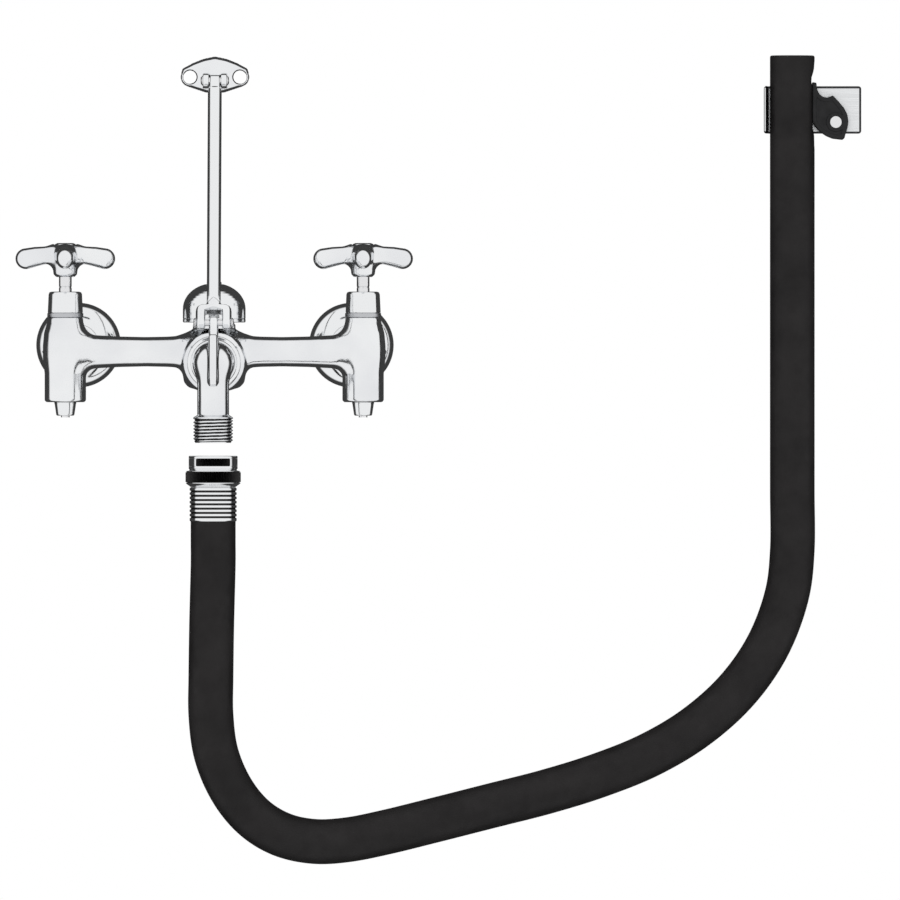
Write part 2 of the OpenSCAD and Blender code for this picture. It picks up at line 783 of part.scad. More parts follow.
module wall_flange() color(chrome) difference() {
    union() {
        translate([0, 0, flange_h + flange_hole_rise]) outward()
            linear_extrude(flange_t) polygon(flange_outline());
        for (s = [-1, 1]) translate([s * (ear_gap / 2 + ear_w / 2), 0, 0]) side_view(ear_w) {
            translate([flange_reach, flange_h]) circle(r = ear_r);
            translate([flange_t - cut, flange_h - ear_r])
                square([flange_reach - flange_t + cut, 2 * ear_r]);
        }
    }
    for (s = [-1, 1]) translate([s * flange_hole_x, cut, flange_h + flange_hole_rise])
        outward() cylinder(r = flange_hole_r, h = flange_t + 2 * cut);
    at_flange_pin() across(pin_r, ear_gap + 2 * ear_w + cut);
}

module flange_pin() color(steel) at_flange_pin() {
    across(pin_r, ear_gap + 2 * ear_w);
    for (s = [-1, 1]) translate([s * (ear_gap / 2 + ear_w + pin_head_t / 2), 0, 0])
        across(pin_head_r, pin_head_t);
}

// ---- Hose and coupling ----

module hose_nut() color(chrome) at_coupling() difference() {
    union() {
        rod(collar_r, -collar_h, 0);
        turned([
            [0, -nut_foot], [collar_r - 1.2, -nut_foot], [knurl_r, -collar_h - ring_h],
            [knurl_r, -collar_h - 0.6], [knurl_r - 0.6, -collar_h], [0, -collar_h]
        ]);
    }
    rod(hose_thread_r + thread_gap, -collar_depth, cut);
    rod(hose_washer_r + run, -collar_depth - hose_washer_t - shank_flange_t - seat_gap, 0);
    rod(nut_lip_r, -nut_foot - cut, -collar_depth);
    for (i = [0 : knurl_count - 1]) rotate(i * 360 / knurl_count)
        translate([knurl_r, 0, -collar_h - ring_h - cut]) rotate(45)
            translate([-knurl_depth, -knurl_depth, 0])
                cube([2 * knurl_depth, 2 * knurl_depth, ring_h + 2 * cut]);
}

module hose_washer() color(rubber) at_coupling()
    tube(hose_washer_r, shank_bore_r, -collar_depth - hose_washer_t, -collar_depth);

module hose_shank() color(brass) at_coupling() difference() {
    flange_top = -collar_depth - hose_washer_t;
    union() {
        rod(hose_washer_r, flange_top - shank_flange_t, flange_top);
        rod(shank_r, -nut_foot - ferrule_top_t - 2 * seat_gap, flange_top);
        rod(barb_r, -nut_foot - ferrule_length + 3, flange_top);
    }
    rod(shank_bore_r, -nut_foot - ferrule_length, cut);
}

module hose_ferrule() color(chrome) at_coupling() translate([0, 0, -nut_foot - seat_gap])
    difference() {
        rod(ferrule_r, -ferrule_length, 0);
        rod(shank_r + run, -ferrule_top_t - cut, cut);
        rod(ferrule_r - ferrule_wall, -ferrule_length - cut, -ferrule_top_t);
        for (i = [1 : ferrule_rings])
            tube(ferrule_r + cut, ferrule_r - ferrule_groove,
                 -i * ferrule_length / (ferrule_rings + 1) - ferrule_groove_w / 2,
                 -i * ferrule_length / (ferrule_rings + 1) + ferrule_groove_w / 2);
    }

// Smooth curve through four neighbouring points
function between(a, b, c, d, t) =
    0.5 * (2 * b + (c - a) * t + (2 * a - 5 * b + 4 * c - d) * t * t
    + (3 * b - a - 3 * c + d) * t * t * t);

function route_point(i) = hose_route[max(0, min(len(hose_route) - 1, i))];

// The neck inside the ferrule, then the route
function hose_line() = concat(
    [[0, -outlet_reach, hose_neck_top], [0, -outlet_reach, ferrule_foot]],
    [for (i = [0 : len(hose_route) - 2], s = [0 : hose_steps - 1])
        between(route_point(i - 1), route_point(i), route_point(i + 1), route_point(i + 2),
                s / hose_steps)],
    [hose_route[len(hose_route) - 1]]
);

function unit(v) = v / norm(v);

// The hose lies in one upright plane, whose normal is level
hose_normal = unit(cross([0, 0, 1], hose_route[len(hose_route) - 1] - hose_route[0]));

function hose_ring(line, i) =
    let (
        ahead = unit(line[min(len(line) - 1, i + 1)] - line[max(0, i - 1)]),
        outer = unit(cross(ahead, hose_normal)),
        r = i < 2 ? hose_neck_r : hose_r
    )
    [for (k = [0 : hose_sides - 1])
        line[i] + r * (cos(k * 360 / hose_sides) * hose_normal + sin(k * 360 / hose_sides) * outer)];

module hose() color(rubber) {
    line = hose_line();
    rings = len(line);
    points = [for (i = [0 : rings - 1]) each hose_ring(line, i)];
    walls = [for (i = [0 : rings - 2], k = [0 : hose_sides - 1])
        let (a = i * hose_sides, n = (k + 1) % hose_sides)
        [a + k, a + n, a + hose_sides + n, a + hose_sides + k]];
    first = [for (k = [hose_sides - 1 : -1 : 0]) k];
    last = [for (k = [0 : hose_sides - 1]) (rings - 1) * hose_sides + k];
    polyhedron(points, concat([first], walls, [last]), convexity = 8);
}

// ---- Bracket ----

module hose_bracket() color(steel) difference() {
    union() {
        translate([plate_left, -sheet, plate_z - plate_h / 2]) cube([plate_w, sheet, plate_h]);
        // Claw: bent forward, its belly rests against the hose
        touch = hose_x - hose_r - cam_gap;
        translate([0, 0, plate_z - plate_h / 2]) linear_extrude(plate_h) polygon([
            [plate_left, 0], [plate_left, -hose_wall_y + 6], [touch - sheet, -hose_wall_y + 2],
            [touch - sheet, -hose_wall_y - 2], [plate_left, -claw_reach],
            [plate_left + sheet, -claw_reach], [touch, -hose_wall_y - 2],
            [touch, -hose_wall_y + 2], [plate_left + sheet, -hose_wall_y + 6], [plate_left + sheet, 0]
        ]);
    }
    for (s = [-1, 1]) translate([hose_x, cut, plate_z + s * plate_hole_z])
        outward() cylinder(r = plate_hole_r, h = sheet + 2 * cut);
}

// Seen from the front, about its pin: a flat face along the hose, a thumb step and a tail
module cam_outline() {
    face = hose_x + hose_r + cam_gap - cam_x;
    polygon([
        [face, 0], [face, cam_toe_h], [face + cam_toe_w, cam_toe_h], [face + cam_toe_w, cam_neck_h],
        [face + 2.5 * cam_toe_w, cam_step_h + cam_toe_w], [face + 4.8 * cam_toe_w, cam_step_h],
        [face + 7.8 * cam_toe_w, cam_step_h + 0.8 * cam_toe_w], [cam_back_r / 2, 1.4 * cam_back_r],
        [0.84 * cam_back_r, 0.84 * cam_back_r], [cam_back_r, cam_back_r / 4],
        [cam_back_r, -0.3 * cam_back_r], [0.86 * cam_back_r, -0.58 * cam_tail],
        [0.66 * cam_back_r, -cam_tail], [cam_back_r / 4, -cam_tail],
        [-0.65 * cam_back_r, -0.8 * cam_tail], [-1.16 * cam_back_r, -0.6 * cam_tail],
        [-1.47 * cam_back_r, -cam_tail / 3]
    ]);
}

module cam() color(rubber) at_cam() difference() {
    translate([0, 0, cam_start]) linear_extrude(cam_w) cam_outline();
    rod(cam_pin_r + run, cam_start - cut, cam_start + cam_w + cut);
}

module cam_pin() color(steel) at_cam() {
    rod(cam_shoulder_r, sheet, cam_start - seat_gap);
    rod(cam_pin_r, cam_start - cut, cam_start + cam_w + seat_gap);
    rod(cam_head_r, cam_start + cam_w + seat_gap, cam_start + cam_w + seat_gap + cam_head_t);
}

// ---- Assembly ----

faucet_body();
at_valve(-1) handle();  // left_handle
at_valve(1) handle();  // right_handle
at_valve(-1) handle_screw();  // left_handle_screw
at_valve(1) handle_screw();  // right_handle_screw
at_valve(-1) index_button(hot);  // left_index_button
at_valve(1) index_button(cold);  // right_index_button
at_valve(-1) stem();  // left_stem
at_valve(1) stem();  // right_stem
at_valve(-1) packing_nut();  // left_packing_nut
at_valve(1) packing_nut();  // right_packing_nut
at_valve(-1) packing();  // left_packing
at_valve(1) packing();  // right_packing
at_valve(-1) bonnet();  // left_bonnet
at_valve(1) bonnet();  // right_bonnet
at_valve(-1) seat_washer();  // left_seat_washer
at_valve(1) seat_washer();  // right_seat_washer
at_valve(-1) washer_screw();  // left_washer_screw
at_valve(1) washer_screw();  // right_washer_screw
at_valve(-1) valve_seat();  // left_valve_seat
at_valve(1) valve_seat();  // right_valve_seat
at_valve(-1) stop_bonnet();  // left_stop_bonnet
at_valve(1) stop_bonnet();  // right_stop_bonnet
at_valve(-1) stop_stem();  // left_stop_stem
at_valve(1) stop_stem();  // right_stop_stem
at_valve(-1) stop_washer();  // left_stop_washer
at_valve(1) stop_washer();  // right_stop_washer
at_valve(-1) stop_packing();  // left_stop_packing
at_valve(1) stop_packing();  // right_stop_packing
eccentric(-1);  // left_eccentric
eccentric(1);  // right_eccentric
union_nut(-1);  // left_union_nut
union_nut(1);  // right_union_nut
inlet_washer(-1);  // left_inlet_washer
inlet_washer(1);  // right_inlet_washer
escutcheon(-1);  // left_escutcheon
escutcheon(1);  // right_escutcheon
vacuum_cage();
vacuum_float();
vacuum_hood();
hood_screw();
spout();
spout_nut();
spout_gasket();
brace_clevis();
clevis_pin();
brace_rod();
wall_flange();
flange_pin();
hose_nut();
hose_washer();
hose_shank();
hose_ferrule();
hose();
hose_bracket();
cam();
cam_pin();
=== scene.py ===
"""Looks of a wall-mounted service sink faucet with vacuum breaker, brace, rubber hose and hose bracket.

Pieces are worked out in millimetres, in the frame's own axes: the wall is the plane y = 0, the
faucet stands out of it towards -Y and +Z is up. They become metres when their mesh is made.
"""

import json
import math

import bpy
import numpy as np
import openvdb
from mathutils import Matrix, Vector


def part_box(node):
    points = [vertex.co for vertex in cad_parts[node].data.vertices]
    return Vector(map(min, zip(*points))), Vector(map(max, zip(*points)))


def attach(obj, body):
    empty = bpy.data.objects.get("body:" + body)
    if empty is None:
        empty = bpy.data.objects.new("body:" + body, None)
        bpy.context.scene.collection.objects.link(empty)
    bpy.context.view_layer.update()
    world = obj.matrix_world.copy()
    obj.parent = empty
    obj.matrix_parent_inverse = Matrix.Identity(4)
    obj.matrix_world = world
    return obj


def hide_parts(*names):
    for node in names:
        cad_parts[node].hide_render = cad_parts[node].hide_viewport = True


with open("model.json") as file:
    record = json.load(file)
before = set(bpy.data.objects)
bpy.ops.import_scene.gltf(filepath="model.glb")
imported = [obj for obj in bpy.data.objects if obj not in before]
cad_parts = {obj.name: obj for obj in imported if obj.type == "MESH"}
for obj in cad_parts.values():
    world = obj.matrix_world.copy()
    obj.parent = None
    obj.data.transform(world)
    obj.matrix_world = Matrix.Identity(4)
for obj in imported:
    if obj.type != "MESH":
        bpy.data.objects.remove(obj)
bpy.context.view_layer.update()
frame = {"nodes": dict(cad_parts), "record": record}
scene = bpy.context.scene

MM = 0.001


def box_of(node):
    """Lowest and highest corner of the CAD node."""
    return np.array(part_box(node)) / MM


def middle(node):
    return sum(box_of(node)) / 2


# ---- Places taken from the frame, in millimetres ----

VALVE_X, VALVE_Y = middle("right_stem")[:2]
BRIDGE_Z = middle("right_inlet_washer")[2]
INLET_X = middle("right_escutcheon")[0]
SPOUT_Z = middle("spout_nut")[2]
OUTLET_Y = middle("hose_washer")[1]
COUPLING_Z = box_of("hose_nut")[1][2]
LUG_PIN = middle("clevis_pin")
FLANGE_PIN = middle("flange_pin")
CAM_PIN = middle("cam_pin")


def add_object(name, data):
    made = bpy.data.objects.new(name, data)
    scene.collection.objects.link(made)
    return made


# ---- Camera ----

PHOTO_MM_PER_PIXEL = 0.6826
PHOTO_SIDE = 900
PHOTO_CENTRE_X, PHOTO_CENTRE_Z = 160.9, -71.8
CAMERA_DISTANCE = 20000
CLIP_END_M = 100
SUBJECT_Y = -60


def make_camera():
    data = bpy.data.cameras.new("camera")
    data.lens = data.sensor_width * CAMERA_DISTANCE / (PHOTO_SIDE * PHOTO_MM_PER_PIXEL)
    data.clip_end = CLIP_END_M
    camera = add_object("camera", data)
    camera.location = Vector((PHOTO_CENTRE_X, SUBJECT_Y - CAMERA_DISTANCE, PHOTO_CENTRE_Z)) * MM
    camera.rotation_euler = (math.pi / 2, 0, 0)
    scene.camera = camera


# ---- Materials ----


def feed(socket, value):
    """Links the input to a value that is another node's output, or sets it. None leaves it alone."""
    if isinstance(value, bpy.types.NodeSocket):
        socket.id_data.links.new(value, socket)
    elif value is not None:
        socket.default_value = value


def add_node(tree, kind, *values, **settings):
    """Outputs of a new shader node. Settings in lower case are its own. The rest is for its inputs."""
    node = tree.nodes.new("ShaderNode" + kind)
    for name in list(filter(str.islower, settings)):
        setattr(node, name, settings.pop(name))
    for socket, value in zip(node.inputs, values):
        feed(socket, value)
    for name, value in settings.items():
        feed(node.inputs[name.replace("_", " ")], value)
    return node.outputs


NOISE_LOW, NOISE_HIGH = 0.35, 0.65  # most of a noise lies between these


class Shader:
    """A Principled material whose inputs are set by noise in object coordinates."""

    def __init__(self, name, colour, metallic, roughness, **sockets):
        self.material = bpy.data.materials.new(name)
        self.material.use_nodes = True
        self.tree = self.material.node_tree
        self.inputs = self.tree.nodes["Principled BSDF"].inputs
        sockets.update(Base_Color=(*colour, 1), Metallic=metallic, Roughness=roughness)
        for socket, value in sockets.items():
            feed(self.inputs[socket.replace("_", " ")], value)
        self.place = add_node(self.tree, "TexCoord")["Object"]
        self.bump = None

    def noise(self, scale, detail, stretch=(1, 1, 1), attribute=None):
        """Noise whose grain is `scale` grains a metre, stretched along the axes. It lies on the places
        that the attribute gives, or else on the object's own coordinates."""
        place = self.place
        if attribute:
            place = add_node(self.tree, "Attribute", attribute_name=attribute)["Vector"]
        place = add_node(self.tree, "Mapping", Vector=place, Scale=stretch)["Vector"]
        return add_node(self.tree, "TexNoise", Vector=place, Scale=scale, Detail=detail)["Fac"]

    def spread(self, noise, low, high):
        values = self.noise(*noise), NOISE_LOW, NOISE_HIGH, low, high
        return add_node(self.tree, "MapRange", *values)["Result"]

    def vary_colour(self, noise, dark, light):
        factor = self.spread(noise, 0, 1)
        mix = add_node(self.tree, "Mix", data_type="RGBA", Factor=factor, A=(*dark, 1), B=(*light, 1))
        feed(self.inputs["Base Color"], mix["Result"])

    def raise_by(self, noise, height):
        """Adds a bump of that height in millimetres."""
        height *= MM
        bump = add_node(self.tree, "Bump", Distance=height, Height=self.noise(*noise), Normal=self.bump)
        self.bump = bump["Normal"]
        feed(self.inputs["Normal"], self.bump)


def make_material(name, slot, colour, metallic, roughness, rough=None, tint=None, bumps=(), **sockets):
    """A material in that slot. rough and tint are a noise and what its low and high values become,
    and each bump is a noise and a height."""
    shader = Shader(name, colour, metallic, roughness, **sockets)
    if rough:
        feed(shader.inputs["Roughness"], shader.spread(*rough))
    if tint:
        shader.vary_colour(*tint)
    for bump in bumps:
        shader.raise_by(*bump)
    return shader.material


def moulded_rubber(name, colour, grain):
    lighter = tuple(c * 1.7 for c in colour)
    return make_material(
        name, name, colour, 0, 0.55, ((260, 4), 0.45, 0.65), ((70, 5), colour, lighter),
        [((1300, 3), grain)], Specular_IOR_Level=0.25,
    )


def enamel(name, slot, colour):
    darker = tuple(c * 0.85 for c in colour)
    tint, bumps = ((500, 3), darker, colour), [((700, 2), 0.01)]
    return make_material(name, slot, colour, 0, 0.25, None, tint, bumps, Coat_Weight=0.4)


LATHE_LINES = (1500, 2, (0.15, 0.15, 4))
BRUSH_LINES = (600, 5, (0.04, 3, 3))

# Plated casting, with the soft waves of a polished casting under the plate
CAST = make_material(
    "cast_chrome", "chrome_plate", (0.80, 0.81, 0.82), 1, 0.12, ((60, 4), 0.07, 0.16),
    ((25, 5), (0.76, 0.77, 0.79), (0.84, 0.85, 0.86)), [((95, 2), 0.08), ((1400, 2), 0.003)],
)
TURNED = make_material(
    "turned_chrome", "chrome_plate", (0.82, 0.83, 0.84), 1, 0.1, ((90, 4), 0.06, 0.13),
    bumps=[(LATHE_LINES, 0.0015)],
)
# Painted shade for the grooves, knurls, hole rims and gaps of plated parts: a near-black chrome
PAINTED_SHADE = make_material(
    "painted_shade_chrome", "chrome_plate", (0.035, 0.034, 0.034), 1, 0.4, ((500, 3), 0.34, 0.48),
)
# Machined ring between nut and casting, duller than the plate
SATIN = make_material(
    "satin_chrome", "raw_brass", (0.52, 0.53, 0.55), 1, 0.32, ((700, 3), 0.26, 0.38),
    bumps=[((1500, 2, (0.2, 0.2, 4)), 0.01)],
)
# Sheet brushed along X
STEEL = make_material(
    "brushed_steel", "stainless", (0.76, 0.77, 0.78), 1, 0.22, (BRUSH_LINES, 0.16, 0.26),
    (BRUSH_LINES, (0.70, 0.71, 0.72), (0.82, 0.83, 0.84)), [(BRUSH_LINES, 0.006)],
)
TURNED_STEEL = make_material(
    "turned_steel", "stainless", (0.76, 0.76, 0.77), 1, 0.12, ((90, 4), 0.09, 0.16),
    bumps=[(LATHE_LINES, 0.002)],
)
# Painted shade along the sheet's edges: a dark border that draws its outline
EDGE_SHADE_STEEL = make_material("edge_shade_steel", "stainless", (0.05, 0.05, 0.052), 1, 0.4, ((500, 3), 0.34, 0.48))
BRASS = make_material(
    "raw_brass", "raw_brass", (0.76, 0.58, 0.28), 1, 0.3, ((240, 4), 0.24, 0.42),
    ((160, 5), (0.62, 0.45, 0.20), (0.80, 0.63, 0.33)), [((1200, 3), 0.01)],
)
# Black hose with a faint wrapped-cloth imprint, running round and along the hose
HOSE_RUBBER = make_material(
    "hose_rubber", "hose_rubber", (0.009, 0.008, 0.008), 0, 0.5, ((120, 5), 0.42, 0.6),
    ((38, 5), (0.007, 0.0062, 0.0064), (0.012, 0.0108, 0.011)),
    [((900, 2, (1, 1, 0.04), "along"), 0.05), ((1500, 3), 0.012)], Specular_IOR_Level=0.2,
)
GRIP_RUBBER = moulded_rubber("grip_rubber", (0.007, 0.007, 0.0075), 0.03)
WASHER_RUBBER = moulded_rubber("washer_rubber", (0.016, 0.016, 0.017), 0.02)
FIBRE = make_material(
    "packing_fibre", "packing_fibre", (0.30, 0.20, 0.13), 0, 0.85, None,
    ((900, 4), (0.22, 0.14, 0.09), (0.38, 0.27, 0.18)), [((1100, 4, (1, 1, 3)), 0.05)],
)
RED = enamel("hot_enamel", "hot_button", (0.62, 0.03, 0.02))
BLUE = enamel("cold_enamel", "cold_button", (0.03, 0.11, 0.50))

# ---- Meshes ----


def body_of_node(node):
    return next(b for b, members in frame["record"]["behaviour"]["bodies"].items() if node in members)


def add_piece(name, points, faces, material, node, smooth=True):
    """Makes a mesh from points in millimetres. It stands for that node and rides on its body."""
    mesh = bpy.data.meshes.new(name)
    mesh.from_pydata((points * MM).tolist(), [], faces)
    mesh.validate()
    mesh.polygons.foreach_set("use_smooth", [smooth] * len(mesh.polygons))
    mesh.materials.append(material)
    piece = add_object(name, mesh)
    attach(piece, body_of_node(node))
    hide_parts(node)
    return piece


def shade(piece, material, chosen):
    """Gives another material to the faces that chosen(x, y, z) picks by their centres."""
    faces = piece.data.polygons
    centre = np.empty(3 * len(faces), np.float32)
    faces.foreach_get("center", centre)
    picked = chosen(*(centre.reshape(-1, 3).T / MM))
    piece.data.materials.append(material)
    faces.foreach_set("material_index", picked.astype(np.int32))


def shade_grooves(piece, radius, foot, top):
    """Paints shade on the faces of a piece on the coupling's axis that lie inside the radius, from foot to
    top: its grooves.
    """
    shade(piece, PAINTED_SHADE, lambda x, y, z: (np.hypot(x, y - OUTLET_Y) < radius) & (z > foot) & (z < top))


def join_faces(*parts):
    """Several (points, faces) as one."""
    faces, start = [], 0
    for points, own in parts:
        faces += [[i + start for i in face] for face in own]
        start += len(points)
    return np.vstack([points for points, _ in parts]), faces


def moved(part, place):
    place = np.array(place)
    return part[0] @ place[:3, :3].T + place[:3, 3], part[1]


def rings_surface(rings, closed=True):
    """Skin over rings of equally many points, closed by fans over its ends."""
    rings = np.asarray(rings, float)
    count, sides = rings.shape[:2]
    points = rings.reshape(-1, 3)
    faces = [
        [i + k, i + (k + 1) % sides, i + sides + (k + 1) % sides, i + sides + k]
        for i in range(0, (count - 1) * sides, sides) for k in range(sides)
    ]
    if closed:
        end, hub = (count - 1) * sides, len(points)
        points = np.vstack([points, rings[0].mean(0), rings[-1].mean(0)])
        faces += [[(k + 1) % sides, k, hub] for k in range(sides)]
        faces += [[end + k, end + (k + 1) % sides, hub + 1] for k in range(sides)]
    return points, faces


def circle(radius, height, sides):
    """Ring about +Z. The radius is a number or one for each point."""
    turn = np.arange(sides) * 2 * math.pi / sides
    return np.stack([radius * np.cos(turn), radius * np.sin(turn), np.full(sides, height)], 1)


def arc(half_u, half_v, start, end, steps, centre=(0, 0)):
    """Points on an ellipse between two angles in degrees."""
    return [
        (centre[0] + half_u * math.cos(a), centre[1] + half_v * math.sin(a))
        for a in np.radians(np.linspace(start, end, steps))
    ]


KEEP = 0.15  # straight stretch kept beside a rounded corner, so that flats shade flat
LEAST_CUT = 0.02  # corners cut by less stay sharp
MOST_CUT = 0.42  # part of the shorter side that a corner may use up


def soften(outline, radius=0.4, steps=3, closed=False):
    """Rounds the corners of an outline. A point may carry its own radius as a third number."""
    count = len(outline)
    rounded = []
    for i, (u, v, *own) in enumerate(outline):
        if not closed and i in (0, count - 1):
            rounded.append((u, v))
            continue
        here = np.array((u, v), float)
        back, on = (np.array(outline[k % count][:2]) - here for k in (i - 1, i + 1))
        lengths = np.linalg.norm(back), np.linalg.norm(on)
        back, on, reach = back / lengths[0], on / lengths[1], min(lengths)
        half = math.acos(max(-1, min(1, float(back @ on)))) / 2
        wanted = own[0] if own else radius
        cut = min(wanted / max(math.tan(half), 1e-6), MOST_CUT * reach)
        if cut < LEAST_CUT:
            rounded.append(tuple(here))
            continue
        start, end = here + back * cut, here + on * cut
        roomy = reach > 4 * KEEP + 2 * cut
        if roomy:
            rounded.append(tuple(start + back * KEEP))
        for t in np.linspace(0, 1, steps + 1):
            rounded.append(tuple((1 - t) ** 2 * start + 2 * t * (1 - t) * here + t * t * end))
        if roomy:
            rounded.append(tuple(end + on * KEEP))
    return rounded


def lathed(profile, sides, closed=False):
    """Surface of revolution about +Z through (radius, height) rings."""
    return rings_surface([circle(r, h, sides) for r, h in profile], closed)


def turned(outline, sides=96, radius=0.4):
    """Solid of revolution about +Z from (radius, height) points, from the axis up its outside and back."""
    return lathed(soften(outline, radius)[1:-1], sides, True)


def hollow(outline, sides=96, radius=0.4):
    """Ring-shaped solid of revolution from a closed outline that stays off the axis."""
    outline = soften(outline, radius, closed=True)
    return lathed(outline + outline[:1], sides)


def at(x, y, z):
    return Matrix.Translation((x, y, z))


OUTWARD = Matrix.Rotation(math.pi / 2, 4, "X")  # +Z becomes -Y, away from the wall
ALONG_X = Matrix.Rotation(math.pi / 2, 4, "Y")
AT_HUB = at(0, VALVE_Y, BRIDGE_Z)
AT_COUPLING = at(0, OUTLET_Y, COUPLING_Z)


def add_at(place, name, part, material, node, smooth=True):
    return add_piece(name, *moved(part, place), material, node, smooth)


def add_to_valves(*pieces):
    """Forms that both valves have. A pair of materials is for the left and the right."""
    for i, side in enumerate(("left_", "right_")):
        place = at((2 * i - 1) * VALVE_X, VALVE_Y, BRIDGE_Z)
        for name, part, material, node in pieces:
            if isinstance(material, tuple):
                material = material[i]
            add_at(place, side + name, part, material, side + node)


def add_both(name, part, material, node):
    """A form made for the right side, and its mirror image."""
    points, faces = part
    for side, sign in (("right_", 1), ("left_", -1)):
        mirrored = points * (sign, 1, 1), [face[::sign] for face in faces]
        add_piece(side + name, *mirrored, material, side + node)


# ---- Sculpted forms: distances to a surface, blended, then skinned ----


def blend_min(a, b, reach):
    """Union of two distances with a fillet."""
    share = np.clip(0.5 + 0.5 * (b - a) / reach, 0, 1)
    return b + (a - b) * share - reach * share * (1 - share)


def blend_max(a, b, reach):
    return -blend_min(-a, -b, reach)


BEVEL = math.radians(62)
BEVEL_ROUND = 0.3


def bevelled(face, side, width):
    """Intersection of two distances whose edge is cut off steeply, that wide on the face."""
    cut = math.sin(BEVEL) * (side + width) + math.cos(BEVEL) * face
    return blend_max(np.maximum(face, side), cut, BEVEL_ROUND)


def beside(u, v, start, end):
    """The place nearest to (u, v) on a line, 0 at its start to 1 at its end, and the way from there."""
    eu, ev = end[0] - start[0], end[1] - start[1]
    t = np.clip(((u - start[0]) * eu + (v - start[1]) * ev) / (eu * eu + ev * ev), 0, 1)
    return t, u - start[0] - eu * t, v - start[1] - ev * t


def path_distance(path, u, v):
    """Distance from (u, v) to the path. Stretches on the axis u = 0 don't count."""
    best = np.float32(1e9)
    for start, end in zip(path, path[1:]):
        if start[0] or end[0]:
            _, du, dv = beside(u, v, start, end)
            best = np.minimum(best, du**2 + dv**2)
    return np.sqrt(best)


def outline_distance(outline, u, v):
    """Distance from (u, v) to an outline, negative inside."""
    inside = np.zeros(np.broadcast(u, v).shape, bool)
    path = [outline[0]]
    for point in [*outline[1:], outline[0]]:
        (au, av), (bu, bv) = path[-1], point
        if (bu - au) ** 2 + (bv - av) ** 2 < 1e-9:
            continue
        if bv != av:
            inside ^= ((av > v) != (bv > v)) & (u < au + (v - av) * ((bu - au) / (bv - av)))
        path.append(point)
    return np.where(inside, -1, 1) * path_distance(path, u, v)


def corner_distance(side, ends):
    """Distance from the solid between two square faces that are that far away."""
    outside = np.hypot(np.maximum(side, 0), np.maximum(ends, 0))
    return outside + np.minimum(np.maximum(side, ends), 0)


def rod(across, along, radius, start, end):
    """Distance from a cylinder of that radius, where across is the distance from its axis."""
    return corner_distance(across - radius, np.maximum(start - along, along - end))


def slab(flat, depth, half, edge):
    """Distance from a plate with rounded edges whose outline has that flat distance."""
    return corner_distance(flat + edge, np.abs(depth) - half + edge) - edge


FAR = 4  # a coarse cell is this many fine ones wide
NEAR = 1.8  # coarse cells whose distance is within this many of their width are sampled finely
FITS = 3  # times that the points are moved onto the surface


def skinned(distance, lowest, highest, cell):
    """Skin of the form that distance(x, y, z) describes: sampled near its surface, then fitted to it."""
    coarse = [np.arange(a, b + FAR * cell, FAR * cell) for a, b in zip(lowest, highest)]
    rough = distance(*np.meshgrid(*coarse, indexing="ij", sparse=True)).astype(np.float32)
    near = np.abs(rough) < NEAR * FAR * cell
    shape = [FAR * len(axis) for axis in coarse]
    field, near = (a.repeat(FAR, 0).repeat(FAR, 1).repeat(FAR, 2) for a in (rough, near))
    fine = [a + cell * (np.arange(n) - FAR / 2 + 0.5) for a, n in zip(lowest, shape)]
    field[near] = distance(*(axis[spots] for axis, spots in zip(fine, np.nonzero(near))))
    grid = openvdb.FloatGrid(float(FAR * cell))
    grid.copyFromArray(field)
    points, quads = grid.convertToQuads()
    origin = np.array([axis[0] for axis in fine])
    points = np.asarray(points, float) * cell + origin
    step = 0.05 * cell
    for _ in range(FITS):
        here = distance(*points.T)
        slope = np.stack([
            distance(*(points + way).T) - distance(*(points - way).T) for way in step * np.eye(3)
        ], 1) / (2 * step)
        size = np.maximum((slope**2).sum(1), 0.25)
        points -= np.clip(here / size, -cell, cell)[:, None] * slope
    return points, [q[::-1] for q in np.asarray(quads).tolist()]


# ---- Casting ----

HUB_R = 22
HUB_DEPTH = 26
NECK_R = 14.5
NECK_H = 19
BRIDGE_R = 10
BARREL_R = 15.3
FOOT_R = 14.1
BARREL_H = 23.4
BARREL_DEPTH = 34.4
NUT_R = 12
BOSS_R = 16.4
BOSS_FACE = 91
FLARE_R = 21
FLARE_FOOT = 66
FLARE_SLOPE = 1.25  # millimetres that the flare narrows for each one outwards
FLARE_EDGE = 85.1
UNION_THREAD_R = 12.2
UNION_FACE = 38.5
CHAMBER_R = 9.7
STOP_CHAMBER_R = 7.05
SEAT_TOP = -7
STOP_SEAT = 14

HUB = soften([
    (0, -HUB_DEPTH), (HUB_R - 10.5, -HUB_DEPTH), (HUB_R - 4.6, -HUB_DEPTH + 1.6, 5),
    (HUB_R - 1.4, -HUB_DEPTH + 5, 5), (HUB_R, -HUB_DEPTH + 13.5, 8), (HUB_R, NECK_H - 9.5, 2.5),
    (NECK_R + 3.5, NECK_H - 6.2, 2), (NECK_R, NECK_H - 3.6, 1.5), (NECK_R, NECK_H, 0.8),
    (0, NECK_H),
], 0.8, 2)
BARREL = soften([
    (0, -BARREL_DEPTH), (FOOT_R - 1.2, -BARREL_DEPTH, 0.9), (FOOT_R, -BARREL_DEPTH + 1.2, 0.9),
    (FOOT_R, -15, 8), (BARREL_R, -4, 9), (BARREL_R, 4, 9), (BARREL_R - 0.8, 13, 12),
    (NUT_R + 0.4, BARREL_H - 3.4, 1.5), (NUT_R, BARREL_H, 0.8), (0, BARREL_H),
], 0.8, 2)
BRIDGE = soften([
    (0, 0), (BRIDGE_R + 2.4, 0), (BRIDGE_R + 2.4, 14, 20), (BRIDGE_R + 1.3, 21, 20),
    (BRIDGE_R + 0.4, 37, 60), (BRIDGE_R, 55, 90), (BRIDGE_R + 0.3, 70, 60),
    (BRIDGE_R + 1, VALVE_X - 22, 60), (BRIDGE_R + 1.4, VALVE_X - 10), (0, VALVE_X - 10),
], 0.8, 2)


